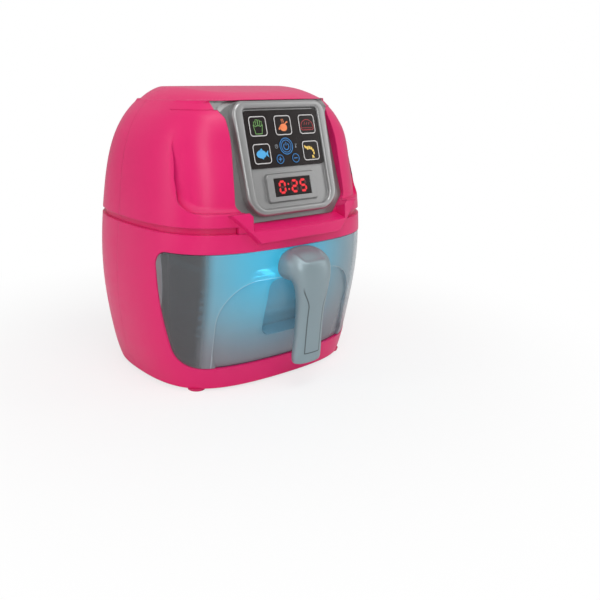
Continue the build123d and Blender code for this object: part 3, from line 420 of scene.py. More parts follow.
def handle_material(look):
    """Satin grey paint with the fine joint round the handle's inlay."""
    material, shader = plastic(
        "handle_grey", look.handle, shaded(look.handle, 0.8), 0.40, grain=0.1,
        grain_scale=2200.0, metallic=0.35, coat_weight=0.1, coat_roughness=0.25,
    )
    tree = material.node_tree
    across = math_node(tree, "ABSOLUTE", axis_value(tree, "X"))
    level = axis_value(tree, "Z")
    inlay_half, inlay_top_half, inlay_foot, widens_from, widens_to = 6.6, 11.5, 28.0, 62.0, 78.0
    line_core, line_edge, line_gone, line_whole, line_front = 0.25, 0.6, 79.0, 73.0, -95.5
    half = map_range(tree, level, widens_from, widens_to, inlay_half, inlay_top_half)
    side = math_node(tree, "ABSOLUTE", math_node(tree, "SUBTRACT", across, half))
    end = math_node(tree, "ABSOLUTE", math_node(tree, "SUBTRACT", level, inlay_foot))
    down = map_range(tree, level, inlay_foot - 0.3, inlay_foot + 0.2)
    up = map_range(tree, level, line_gone, line_whole)
    joint = product(tree, map_range(tree, side, line_core, line_edge, 1, 0), down, up)
    foot = product(
        tree,
        map_range(tree, end, line_core, line_edge, 1, 0),
        map_range(tree, across, inlay_half, inlay_half + 0.3, 1, 0),
    )
    front = map_range(tree, axis_value(tree, "Y"), line_front, line_front + 1, 1, 0)
    line = product(tree, math_node(tree, "MAXIMUM", joint, foot), front)
    plain = shader.inputs["Base Color"].links[0].from_socket
    dark = shaded(look.handle, 0.35)
    tree.links.new(mix_colour(tree, line, plain, dark), shader.inputs["Base Color"])
    return material


def front_material(look):
    """The clear front: at its left end the tub's smoke colour with painted shade of the unlit chamber behind, blue
    under the lamp as painted light, a painted highlight along its arch, and greyer towards its foot.
    """
    foot_tint, end_tint, arch_highlight_tint = (0.32, 0.32, 0.355), (0.30, 0.27, 0.29), (0.55, 0.62, 0.66)
    end_from, end_to, smoke_shade_from, smoke_shade_to = -89.6, -89.0, -74.0, -64.0
    foot_from, foot_to = 62.0, 22.0
    arch_flat, arch_rise, arch_round = 32.0, 51.5, 30.0
    material, shader = plastic(
        "clear_front", look.clear, shaded(look.clear, 0.9), 0.1, tone=0.1, scuffs=0.03, soft=0.5
    )
    tree = material.node_tree
    across = axis_value(tree, "X")
    level = axis_value(tree, "Z")
    # Painted light: near the lamp the front is coloured and glows in the lamp's blue
    near_lamp = glow_amount(tree, LAMP_ON_FRONT, 2, 90)
    colour = mix_colour(tree, map_range(tree, level, foot_from, foot_to), look.clear, foot_tint)
    colour = mix_colour(tree, near_lamp, colour, look.glow)
    # Painted shade: the left end darkens to the tub's smoke colour, where the unlit side of the chamber shows through
    smoke_and_shade = product(
        tree, map_range(tree, across, smoke_shade_from, smoke_shade_to, 1, 0), map_range(tree, across, end_from, end_to)
    )
    colour = mix_colour(tree, smoke_and_shade, colour, look.smoke)
    colour = mix_colour(tree, map_range(tree, across, end_from, end_to, 1, 0), colour, end_tint)
    # A painted highlight along the edge of the arch in the front
    beside = math_node(tree, "SUBTRACT", math_node(tree, "ABSOLUTE", across), arch_flat)
    above = math_node(tree, "SUBTRACT", level, arch_rise)
    arch_highlight_distance = math_node(
        tree, "ABSOLUTE", math_node(tree, "SUBTRACT", corner_distance(tree, beside, above), arch_round)
    )
    colour = mix_colour(tree, map_range(tree, arch_highlight_distance, 0.2, 0.6, 0.75, 0), colour, arch_highlight_tint)
    tree.links.new(colour, shader.inputs["Base Color"])
    lit = product(tree, near_lamp, math_node(tree, "SUBTRACT", 1.0, smoke_and_shade))
    tree.links.new(mix_colour(tree, lit, BLACK, look.glow), shader.inputs["Emission Color"])
    shader.inputs["Emission Strength"].default_value = 0.34
    shader.inputs["Alpha"].default_value = 0.60
    shader.inputs["Coat Weight"].default_value = 0.3
    shader.inputs["Coat Roughness"].default_value = 0.06
    return material


def lit_by_chamber(material, shader, look, place, reach, strength):
    """Adds the chamber lamp's light to a finish as a painted glow, falling off from a place."""
    tree = material.node_tree
    near_lamp = glow_amount(tree, place, *reach)
    tree.links.new(mix_colour(tree, near_lamp, BLACK, look.glow), shader.inputs["Emission Color"])
    shader.inputs["Emission Strength"].default_value = strength
    return material


# The finishes by their short names
MATERIALS = {}

# Finishes in one colour and its shade: name, colour, shade, roughness and what else is set
PLAIN_FINISHES = {
    "dark": ("dark_plastic", (0.02, 0.02, 0.022), (0.03, 0.03, 0.03), 0.5, {}),
    "pale": ("pale_plastic", (0.55, 0.55, 0.53), (0.48, 0.48, 0.46), 0.5, {}),
    "board": ("circuit_board", (0.02, 0.12, 0.04), (0.01, 0.08, 0.02), 0.4, {}),
    "steel": ("screw_steel", (0.55, 0.55, 0.56), (0.4, 0.4, 0.4), 0.3, {"grain_scale": 3000.0, "metallic": 1.0}),
    "cell": ("cell_sleeve", (0.03, 0.04, 0.05), (0.05, 0.06, 0.07), 0.3, {"metallic": 0.5}),
    "rubber": ("dome_rubber", (0.5, 0.5, 0.46), (0.45, 0.45, 0.42), 0.7, {}),
    "rack": ("rack_grey", (0.30, 0.36, 0.40), (0.24, 0.30, 0.34), 0.35, {"soft": 0.4}),
    "digit_off": ("digit_off", (0.07, 0.006, 0.008), (0.05, 0.004, 0.004), 0.3, {}),
}
PRINT_COLOURS = {
    "print_grey": (0.62, 0.60, 0.60),
    "print_mark": (0.22, 0.24, 0.27),
    "print_green": (0.16, 0.36, 0.10),
    "print_orange": (0.90, 0.24, 0.08),
    "print_red": (0.30, 0.014, 0.02),
    "print_blue": (0.025, 0.20, 0.52),
    "print_sky": (0.08, 0.42, 0.80),
    "print_yellow": (0.85, 0.58, 0.12),
}
DIGIT_RED = (0.62, 0.012, 0.02)


def shaded(colour, share):
    """A colour made darker or lighter."""
    return [value * share for value in colour]


def make_materials():
    """All the finishes of the object."""
    look = bpy.context.scene.fryer_colours
    soft = bpy.context.scene.fryer_sizes.edge_round
    MATERIALS["pink"] = shell_material(look, soft)
    MATERIALS["silver"] = plastic(
        "silver_paint", look.silver, shaded(look.silver, 0.8), 0.33, grain=0.15,
        grain_scale=2600.0, soft=0.8, metallic=0.75, coat_weight=0.15, coat_roughness=0.2,
    )[0]
    MATERIALS["silver_dark"] = plastic(
        "silver_plate", look.silver_dark, shaded(look.silver_dark, 0.8), 0.38, grain=0.15,
        grain_scale=2600.0, soft=0.5, metallic=0.6,
    )[0]
    MATERIALS["panel"] = plastic(
        "panel_black", look.panel, shaded(look.panel, 1.6), 0.22, scuffs=0.08, soft=0.2,
        specular_ior_level=0.25, coat_weight=0.1,
    )[0]
    MATERIALS["handle"] = handle_material(look)
    MATERIALS["foot"] = plastic("foot_pink", look.shell_deep, shaded(look.shell_deep, 0.85), 0.55, soft=0.5)[0]
    for key, (name, colour, shade, roughness, more) in PLAIN_FINISHES.items():
        MATERIALS[key] = plastic(name, colour, shade, roughness, **more)[0]
    for name, colour in PRINT_COLOURS.items():
        MATERIALS[name] = plastic(name, colour, shaded(colour, 0.85), 0.3, tone=0.4)[0]

    liner = plastic("liner_grey", (0.10, 0.12, 0.13), (0.08, 0.10, 0.11), 0.4)
    MATERIALS["liner"] = lit_by_chamber(*liner, look, LAMP_ON_LINER, (0, 95), 0.5)
    tub = plastic("smoky_tub", look.smoke, shaded(look.smoke, 0.8), 0.15, coat_weight=0.3, alpha=0.62)
    MATERIALS["tub"] = lit_by_chamber(*tub, look, LAMP_ON_TUB, (10, 110), 0.2)
    MATERIALS["clear"] = front_material(look)

    for name, colour, strength in (("lamp_light", look.glow, 3.0), ("digit_red", DIGIT_RED, 0.55)):
        MATERIALS[name], shader = plastic(name, colour, shaded(colour, 0.8), 0.3)
        shader.inputs["Emission Color"].default_value = (*colour, 1)
        shader.inputs["Emission Strength"].default_value = strength


# Pieces that stand for CAD nodes


def slope_at(index, column):
    """How fast a body size changes with level at a station."""
    low = BODY_STATIONS[max(index - 1, 0)]
    high = BODY_STATIONS[min(index + 1, len(BODY_STATIONS) - 1)]
    return (high[column] - low[column]) / (high[0] - low[0])


def body_size(level, column):
    """The body's half width or half depth at a level, and how fast it changes."""
    level = min(max(level, BODY_STATIONS[0][0]), BODY_STATIONS[-1][0])
    index = 0
    while index < len(BODY_STATIONS) - 2 and level > BODY_STATIONS[index + 1][0]:
        index += 1
    low, high = BODY_STATIONS[index], BODY_STATIONS[index + 1]
    span = high[0] - low[0]
    t = (level - low[0]) / span
    first, last = slope_at(index, column) * span, slope_at(index + 1, column) * span
    size = (
        (2 * t**3 - 3 * t**2 + 1) * low[column] + (t**3 - 2 * t**2 + t) * first
        + (3 * t**2 - 2 * t**3) * high[column] + (t**3 - t**2) * last
    )
    rate = (
        (6 * t**2 - 6 * t) * low[column] + (3 * t**2 - 4 * t + 1) * first
        + (6 * t - 6 * t**2) * high[column] + (3 * t**2 - 2 * t) * last
    ) / span
    return size, rate


def quarter(t):
    """A point on the unit quarter of the body's outline, and its direction."""
    k = BODY_FULLNESS
    x = (1 - t) ** 3 + 3 * (1 - t) ** 2 * t + 3 * (1 - t) * t**2 * k
    y = 3 * (1 - t) ** 2 * t * k + 3 * (1 - t) * t**2 + t**3
    run_x = 6 * (1 - t) * t * (k - 1) - 3 * t**2 * k
    run_y = 3 * (1 - t) ** 2 * k + 6 * (1 - t) * t * (1 - k)
    return x, y, run_x, run_y


def quarter_where(before):
    """The place along the unit quarter at which a test of its points stops holding, found by halving."""
    low, high = 0.0, 1.0
    for _ in range(HALVINGS):
        t = (low + high) / 2
        x, y = quarter(t)[:2]
        if before(x, y):
            low = t
        else:
            high = t
    return quarter(t)


def half_sizes(level):
    """The body's half width and half depth at a level, in millimetres."""
    return body_size(level, 1)[0], body_size(level, 2)[0]


def body_part(across, along):
    """How far out a place is in the body's outline, from 0 at the middle to 1 at its edge."""
    across, along = abs(across), abs(along)
    x, y = quarter_where(lambda x, y: y * across < x * along)[:2]
    return sqrt((across**2 + along**2) / (x**2 + y**2))


def front_place(across, level):
    """How far forward the body's front lies, at a place across it and a level."""
    wide, deep = half_sizes(level)
    return -deep * quarter_where(lambda x, y: wide * x > across)[1]


def body_normal(place):
    """Which way the body's smooth surface faces, level with and beside a place."""
    wide, wide_rate = body_size(place.z / MM, 1)
    deep, deep_rate = body_size(place.z / MM, 2)
    across, along = abs(place.x) / MM / wide, abs(place.y) / MM / deep
    x, y, run_x, run_y = quarter_where(lambda x, y: y * across < x * along)
    facing = Vector((
        deep * run_y,
        -wide * run_x,
        wide * deep_rate * run_x * y - wide_rate * deep * run_y * x,
    ))
    facing.x *= -1 if place.x < 0 else 1
    facing.y *= -1 if place.y < 0 else 1
    return facing.normalized()


def on_step_wall(face):
    """Whether a face is on the low wall round the step of the front."""
    low, high, side, back, flat, inner = 143, 203, 55, -12, 0.9, 0.955
    middle = face.center / MM
    if not low < middle.z < high or abs(middle.x) < side or middle.y > back or abs(face.normal.z) > flat:
        return False
    wide, deep = half_sizes(middle.z)
    return inner < body_part(middle.x / wide, middle.y / deep) < BODY_EDGE


def shade_as_body(mesh):
    """Gives the faces that lie along the body its smooth surface's own normals."""
    normals = [Vector(corner.vector) for corner in mesh.corner_normals]
    facing = {}
    for face in mesh.polygons:
        step_wall = on_step_wall(face)
        for corner in face.loop_indices:
            spot = mesh.loops[corner].vertex_index
            place = mesh.vertices[spot].co
            if place.z > (ROOF_CAP[2] - 0.1) * MM:
                continue
            if spot not in facing:
                facing[spot] = body_normal(place)
            lean = facing[spot].dot(face.normal)
            if abs(lean) > ALONG_BODY:
                normals[corner] = facing[spot] * (1 if lean > 0 else -1)
            elif step_wall:
                normals[corner] = facing[spot]
    mesh.normals_split_custom_set(normals)


def merge_corners(piece, distance):
    """Merges the corners of an object that lie nearer than a distance."""
    only(piece)
    bpy.ops.object.mode_set(mode="EDIT")
    bpy.ops.mesh.select_all(action="SELECT")
    bpy.ops.mesh.remove_doubles(threshold=distance)


def smooth_copy(name, on_body=False, reshape=None):
    """A merged copy of a CAD node with smooth faces, shaded as the body's own surface where it lies on it."""
    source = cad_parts[name]
    piece = bpy.data.objects.new(f"{name}_skin", source.data.copy())
    bpy.context.scene.collection.objects.link(piece)
    only(piece)
    bpy.ops.mesh.customdata_custom_splitnormals_clear()
    merge_corners(piece, MERGE)
    bpy.ops.object.mode_set(mode="OBJECT")
    if reshape:
        reshape(piece)
        merge_corners(piece, MERGE_RESHAPED)
        bpy.ops.mesh.dissolve_degenerate(threshold=THINNEST)
        bpy.ops.object.mode_set(mode="OBJECT")
    bpy.ops.object.shade_smooth_by_angle(angle=SMOOTH_ANGLE)
    if on_body:
        shade_as_body(piece.data)
    return piece


def dress(names, material, slot, body="housing", on_body=False, reshape=None):
    """Smooth copies of CAD nodes in one finish."""
    for name in names:
        finish_piece(smooth_copy(name, on_body, reshape), body, MATERIALS[material], slot, name)


def recolour(names, material):
    """Gives CAD nodes that keep their own shape a finish."""
    for name in names:
        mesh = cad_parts[name].data
        mesh.materials.clear()
        mesh.materials.append(MATERIALS[material])


class FRYER_OT_finishes(bpy.types.Operator):
    """Make the finishes."""

    bl_idname = "fryer.finishes"
    bl_label = "Finishes"

    def execute(self, context):
        make_materials()
        return {"FINISHED"}


def slope_roof(piece):
    """Gives the roof cap sloping sides and a brim that stands out over the console."""
    half_width, half_depth, brim, height = ROOF_CAP
    slack, flat_top, bend = 0.001, 0.97, 1.3
    for vertex in piece.data.vertices:
        x, y, z = vertex.co / MM
        rise = (z - brim) / height
        if rise < -slack or abs(x) > half_width * (1 + slack) or abs(y) > half_depth * (1 + slack):
            continue
        if rise < slack and body_part(x / half_width, y / half_depth) < flat_top:
            continue
        rise = min(max(rise, 0), 1)
        foot = ROOF_FRONT if y < 0 else ROOF_BACK
        forward = min(max(-y / half_depth, 0), 1)
        vertex.co = MM * Vector((
            x * (ROOF_SIDE + (ROOF_SIDE_TOP - ROOF_SIDE) * rise),
            y * (foot + (ROOF_DEPTH_TOP - foot) * rise),
            z - ROOF_FALL * rise * forward**bend,
        ))


def between(pairs, place):
    """A value read from a rising list of places and values."""
    place = min(max(place, pairs[0][0]), pairs[-1][0])
    for (low, first), (high, last) in zip(pairs, pairs[1:]):
        if place <= high:
            return first + (last - first) * (place - low) / (high - low)


def fade_step(piece):
    """Lets the step of the front run out towards the roof."""
    margin, beside, back = 1.0, 40, -10
    start, end = STEP_FADE
    for vertex in piece.data.vertices:
        x, y, z = vertex.co / MM
        if not start < z < STEP_TOP or y > back or abs(x) < beside:
            continue
        wide, deep = half_sizes(z)
        part = body_part(x / wide, y / deep)
        inset = (1 - part) * (wide + deep) / 2
        beyond = abs(x) > between(STEP_EDGES, z) + margin or inset > between(STEP_DEPTHS, z) + margin
        if beyond or part > BODY_EDGE:
            continue
        rise = min(max((z - start) / (end - start), 0), 1)
        vertex.co.y += (front_place(abs(x), z) - y) * MM * rise**2 * (3 - 2 * rise)


def shape_upper(piece):
    """Both changes of shape of the upper shells."""
    slope_roof(piece)
    fade_step(piece)


class FRYER_OT_housing(bpy.types.Operator):
    """Dress the four shells of the housing, the battery door and the base."""

    bl_idname = "fryer.housing"
    bl_label = "Housing"

    def execute(self, context):
        dress(("upper_front_shell", "upper_rear_shell"), "pink", "pink_shell", on_body=True, reshape=shape_upper)
        dress(("lower_front_shell", "lower_rear_shell", "battery_door"), "pink", "pink_shell", on_body=True)
        dress(("base_plate",), "foot", "base_plastic")
        return {"FINISHED"}


class FRYER_OT_console(bpy.types.Operator):
    """Dress the silver plate, the bezel and the black panel."""

    bl_idname = "fryer.console"
    bl_label = "Console"

    def execute(self, context):
        dress(("console_bezel",), "silver", "silver_trim")
        dress(("console_plate",), "silver_dark", "silver_trim")
        dress(("icon_panel",), "panel", "black_panel")
        return {"FINISHED"}


# Prints on the keys: flat shapes in millimetres on the console


def arc(centre, radius, start, end, steps=24, squash=1.0):
    """Points along an arc, by angles in degrees."""
    return [
        (
            centre[0] + radius * cos(radians(start + (end - start) * step / steps)),
            centre[1] + squash * radius * sin(radians(start + (end - start) * step / steps)),
        )
        for step in range(steps + 1)
    ]


def stroke(points, width, closed=False):
    """Faces of a flat line of even width through points."""
    count = len(points)
    sides = []
    for index, (x, y) in enumerate(points):
        before = points[index - 1] if index or closed else points[index]
        after = points[(index + 1) % count] if index < count - 1 or closed else points[index]
        first = Vector((x - before[0], y - before[1]))
        second = Vector((after[0] - x, after[1] - y))
        first = first.normalized() if first.length > SMALL else second.normalized()
        second = second.normalized() if second.length > SMALL else first
        along = (first + second).normalized()
        reach = width / 2 / max(along.dot(first), 0.5)
        sides.append(((x - along.y * reach, y + along.x * reach), (x + along.y * reach, y - along.x * reach)))
    faces = []
    for index in range(count if closed else count - 1):
        (left, right), (next_left, next_right) = sides[index], sides[(index + 1) % count]
        faces.append([right, next_right, next_left, left])
    return faces


def rounded_box(half_width, half_height, corner):
    """Points round a box with rounded corners, about the middle."""
    points = []
    for x, y, start in ((1, 1, 0), (-1, 1, 90), (-1, -1, 180), (1, -1, 270)):
        points += arc((x * (half_width - corner), y * (half_height - corner)), corner, start, start + 90, 6)
    return points


def turned(points, angle):
    """Points turned about the middle."""
    turn = radians(angle)
    return [(x * cos(turn) - y * sin(turn), x * sin(turn) + y * cos(turn)) for x, y in points]


def grown(shapes, factor):
    """Flat shapes made larger about the middle."""
    return [[(x * factor, y * factor) for x, y in shape] for shape in shapes]


def shifted(shapes, move):
    """Flat shapes moved across the console."""
    return [[(x + move[0], y + move[1]) for x, y in shape] for shape in shapes]


def fries_shapes(line):
    """An outlined cup of fries."""
    cup = [(-4.0, 0.9), (-2.2, -0.2), (-1.0, 0.4), (1.0, 0.4), (2.2, -0.2), (4.0, 0.9), (2.7, -5.3), (-2.7, -5.3)]
    shapes = stroke(cup, line, closed=True)
    for x, top, lean in ((-2.5, 3.2, -10), (-0.9, 4.6, -3), (0.9, 4.3, 4), (2.5, 3.4, 10)):
        stick = [(-0.75, 0.9), (-0.75, top), (0.75, top), (0.75, 0.9)]
        shapes += shifted(stroke(turned(stick, -lean), line * 0.7), (x * 0.9, 0))
    return shapes


def chicken_shapes(line):
    """A roast chicken with a little steam."""
    shapes = [arc((0.2, -1.6), 3.3, 0, 345, 24, 0.82)]
    shapes += [[(2.0, 0.2), (3.4, 1.6), (4.3, 1.5), (4.6, 2.4), (3.8, 2.8), (3.0, 2.3), (1.4, 1.0)]]
    shapes += [[(-2.2, -0.2), (-3.7, -1.4), (-4.4, -2.6), (-3.9, -3.3), (-2.6, -2.6), (-1.4, -1.8)]]
    for x in (-0.6, 0.7):
        wave = [(x + 0.35 * sin(step * 1.1), 1.9 + step * 0.42) for step in range(7)]
        shapes += stroke(wave, line * 0.8)
    return shapes


def bread_shapes(line):
    """An outlined round loaf."""
    dome = arc((0, -1.6), 4.6, 0, 180, 24, 0.92)
    shapes = stroke(dome, line)
    shapes += stroke([(-4.6, -1.6), (-4.7, -2.6), (-3.8, -3.3), (3.8, -3.3), (4.7, -2.6), (4.6, -1.6)], line)
    shapes += stroke([(-4.0, -2.1), (4.0, -2.1)], line * 0.7)
    for x in (-1.7, 0, 1.7):
        shapes += stroke([(x - 0.4, -0.4), (x + 0.4, 1.2)], line)
    return shapes


def fish_shapes():
    """A plain fish."""
    body = arc((-0.6, -0.2), 3.5, 20, 340, 28, 0.68)
    tail = [(2.2, -0.2), (4.7, 2.0), (4.1, -0.2), (4.7, -2.3)]
    fin = [(-1.6, 2.0), (-0.2, 3.3), (1.0, 1.6)]
    belly = [(-0.8, -2.4), (0.4, -3.3), (0.9, -2.0)]
    return [body, tail, fin, belly]


def shrimp_shapes():
    """A curled shrimp in five bands, with its tail."""
    shapes = []
    middle = (-1.6, -1.6)
    for band in range(5):
        start = 118 - band * 27
        width = 1.0 - 0.13 * band
        outer = arc(middle, 4.3, start, start - 23, 5)
        inner = arc(middle, 4.3 - 2.1 * width, start - 23, start, 5)
        shapes.append(outer + inner)
    shapes.append([(-3.2, 2.6), (-4.9, 3.4), (-4.6, 1.9), (-3.4, 1.2)])
    shapes.append([(1.3, -2.7), (2.5, -4.8), (1.5, -4.3), (0.5, -4.9), (0.4, -2.9)])
    return shapes


def power_shapes(line):
    """Two rings round a power mark."""
    shapes = stroke(arc((0, 0), 5.7, 0, 360, 40)[:-1], line * 1.2, closed=True)
    shapes += stroke(arc((0, 0), 4.3, 0, 360, 36)[:-1], line, closed=True)
    shapes += stroke(arc((0, -0.2), 2.3, 125, 415, 24), line * 1.3)
    shapes += stroke([(0, 0.4), (0, 3.0)], line * 1.3)
    return shapes


def sign_shapes(line, upright):
    """A ring round a plus or a minus."""
    shapes = stroke(arc((0, 0), 3.05, 0, 360, 30)[:-1], line, closed=True)
    shapes += stroke([(-1.6, 0), (1.6, 0)], line * 1.3)
    if upright:
        shapes += stroke([(0, -1.6), (0, -line * 0.66)], line * 1.3)
        shapes += stroke([(0, line * 0.66), (0, 1.6)], line * 1.3)
    return shapes


def clock_shapes(line):
    """A small clock."""
    shapes = stroke(arc((0, 0), 1.25, 0, 360, 20)[:-1], line * 0.7, closed=True)
    shapes += stroke([(0, 0.8), (0, 0), (0.6, 0)], line * 0.7)
    return shapes


def thermometer_shapes(line):
    """A small thermometer."""
    shapes = [arc((0, -1.0), 0.62, 0, 345, 14)]
    shapes += stroke([(0, -0.6), (0, 1.5)], line)
    shapes += stroke([(0.7, 1.2), (1.2, 1.2)], line * 0.6)
    shapes += stroke([(0.7, 0.5), (1.2, 0.5)], line * 0.6)
    return shapes


def printed(name, shapes, out, height):
    """Flat shapes on the console given a slight thickness."""
    corners, faces = [], []
    for shape in shapes:
        area = sum(x * next_y - next_x * y for (x, y), (next_x, next_y) in zip(shape, shape[1:] + shape[:1]))
        ordered = shape if area > 0 else shape[::-1]
        faces.append(list(range(len(corners), len(corners) + len(ordered))))
        corners += [point(x, y, out) for x, y in ordered]
    piece = from_faces(name, corners, faces)
    merge_corners(piece, MERGE_PRINT)
    bpy.ops.mesh.select_all(action="SELECT")
    bpy.ops.mesh.extrude_region_move(TRANSFORM_OT_translate={"value": tuple(CONSOLE_OUT * height * MM)})
    bpy.ops.object.mode_set(mode="OBJECT")
    return piece


class FRYER_OT_keys(bpy.types.Operator):
    """Dress the eight keys and print their marks."""

    bl_idname = "fryer.keys"
    bl_label = "Keys"

    def execute(self, context):
        sizes = context.scene.fryer_sizes
        line = sizes.icon_line
        pictures = {
            "fries_key": (fries_shapes(line), "print_green"),
            "chicken_key": (chicken_shapes(line), "print_orange"),
            "bread_key": (grown(bread_shapes(line), 1.25), "print_red"),
            "fish_key": (grown(fish_shapes(), 1.2), "print_sky"),
            "shrimp_key": (grown(shrimp_shapes(), 1.2), "print_yellow"),
            "power_key": (power_shapes(line), "print_blue"),
            "plus_key": (sign_shapes(line, True), "print_blue"),
            "minus_key": (sign_shapes(line, False), "print_blue"),
        }
        edge = stroke(rounded_box(*OUTLINE_HALF, OUTLINE_CORNER), sizes.outline_width, closed=True)
        places = {**SQUARE_KEYS, **ROUND_KEYS}
        for name, (shapes, material) in pictures.items():
            body = f"{name}_body"
            dress((name,), "panel", "black_panel", body=body)
            mark = printed(f"{name}_mark", shifted(shapes, places[name]), KEY_TOP, sizes.print_height)
            finish_piece(mark, body, MATERIALS[material], "black_panel")
            if name in SQUARE_KEYS:
                outline = printed(f"{name}_outline", shifted(edge, places[name]), KEY_TOP, sizes.print_height)
                finish_piece(outline, body, MATERIALS["print_grey"], "black_panel")
        for name, shapes, place in (
            ("clock_mark", clock_shapes(line), CLOCK_PLACE),
            ("thermometer_mark", thermometer_shapes(line), THERMOMETER_PLACE),
        ):
            mark = printed(name, shifted(shapes, place), 0, sizes.print_height)
            finish_piece(mark, "housing", MATERIALS["print_mark"], "black_panel")
        return {"FINISHED"}


# The bars of a digit by their ends, as shares of its width and height, and which of them a digit lights
BARS = {
    "a": ((0, 1), (1, 1)),
    "b": ((1, 1), (1, 0.5)),
    "c": ((1, 0.5), (1, 0)),
    "d": ((0, 0), (1, 0)),
    "e": ((0, 0.5), (0, 0)),
    "f": ((0, 1), (0, 0.5)),
    "g": ((0, 0.5), (1, 0.5)),
}
DIGITS = {"0": "abcdef", "2": "abged", "5": "afgcd"}
DIGIT_PLACES = (("0", -9.4), ("2", 1.6), ("5", 9.6))
DIGIT_WIDTH, BAR_HALF, BAR_GAP = 4.6, 0.85, 0.22
COLON_PLACE, COLON_RISE, COLON_RADIUS = -3.9, 1.8, 0.75
DIGIT_MARGIN = 1.9


def digit_bar(start, end, x, tall):
    """The six corners of one bar of a digit."""
    middle = Vector((x, DISPLAY_LEVEL))
    first, last = (
        middle + Vector(((share[0] - 0.5) * DIGIT_WIDTH, (share[1] - 0.5) * tall)) for share in (start, end)
    )
    along = (last - first).normalized()
    side = Vector((-along.y, along.x)) * BAR_HALF
    first, last, point_in = first + along * BAR_GAP, last - along * BAR_GAP, along * BAR_HALF
    corners = (
        first, first + point_in - side, last - point_in - side, last, last - point_in + side, first + point_in + side
    )
    return [tuple(corner) for corner in corners]


class FRYER_OT_display(bpy.types.Operator):
    """Dress the display and light its digits."""

    bl_idname = "fryer.display"
    bl_label = "Display"

    def execute(self, context):
        sizes = context.scene.fryer_sizes
        dress(("display_window",), "panel", "display")
        tall = sizes.digit_height - DIGIT_MARGIN
        lit, unlit = [], []
        for digit, x in DIGIT_PLACES:
            for name, (start, end) in BARS.items():
                (lit if name in DIGITS[digit] else unlit).append(digit_bar(start, end, x, tall))
        for y in (-COLON_RISE, COLON_RISE):
            lit.append(arc((COLON_PLACE, DISPLAY_LEVEL + y), COLON_RADIUS, 0, 330, 11))
        for name, bars, material in (
            ("display_digits", lit, "digit_red"),
            ("display_dark_bars", unlit, "digit_off"),
        ):
            piece = printed(name, bars, GLASS_TOP, sizes.print_height)
            finish_piece(piece, "housing", MATERIALS[material], "display")
        return {"FINISHED"}


class FRYER_OT_drawer(bpy.types.Operator):
    """Dress the clear front, the tub and the rack."""

    bl_idname = "fryer.drawer"
    bl_label = "Drawer"

    def execute(self, context):
        dress(("drawer_front",), "clear", "clear_front", body="drawer", on_body=True)
        dress(("drawer_tub",), "tub", "smoky_tub", body="drawer")
        dress(("crisper_rack",), "rack", "rack_plastic", body="drawer")
        dress(("handle_screws",), "steel", "screw_steel", body="drawer")
        return {"FINISHED"}


# The handle's rings: forward reach, level, half width, half thickness and lean in degrees
HANDLE_RINGS = (
    (78.0, 90.2, 19.4, 12.6, 0),
    (85.0, 90.3, 19.2, 12.6, 2),
    (91.0, 90.0, 18.6, 12.6, 14),
    (95.4, 87.6, 17.4, 12.0, 44),
    (97.2, 80.5, 14.8, 9.4, 74),
    (96.9, 71.0, 12.6, 7.5, 90),
    (95.4, 58.0, 11.4, 6.6, 95),
    (94.2, 42.0, 11.4, 6.2, 94),
    (93.0, 29.0, 12.3, 6.2, 92),
    (92.5, 22.0, 12.6, 6.0, 91),
    (92.4, 19.8, 11.2, 4.8, 90),
)
RING_POINTS = 16
RING_FULLNESS = (0.84, 0.80)
END_INSET = 1.6

# The thumb notch: where it lies on the head, and how far it is drawn in and down
NOTCH_HALF, NOTCH_FRONT, NOTCH_BACK, NOTCH_LEVEL = 10, -101, -88, 92
NOTCH_INSET, NOTCH_MOVE = 1.4, (0, 1.1, -1.7)


def handle_ring(reach, level, half_width, half_thickness, lean):
    """Places round one ring of the handle."""
    across = Vector((1, 0, 0))
    out = Vector((0, -sin(radians(lean)), cos(radians(lean))))
    places = []
    for step in range(RING_POINTS):
        angle = 2 * pi * (step + 0.5) / RING_POINTS
        x, y = (copysign(abs(part) ** full, part) for part, full in zip((cos(angle), sin(angle)), RING_FULLNESS))
        places.append(MM * (Vector((0, -reach, level)) + x * half_width * across + y * half_thickness * out))
    return places


def move_ring(piece, places):
    """Moves the selected ring of an object in edit mode to its places."""
    form = bmesh.from_edit_mesh(piece.data)
    turn = form.verts.layers.int["turn"]
    for vertex in form.verts:
        if vertex.select:
            vertex.co = places[vertex[turn]]
    bmesh.update_edit_mesh(piece.data)


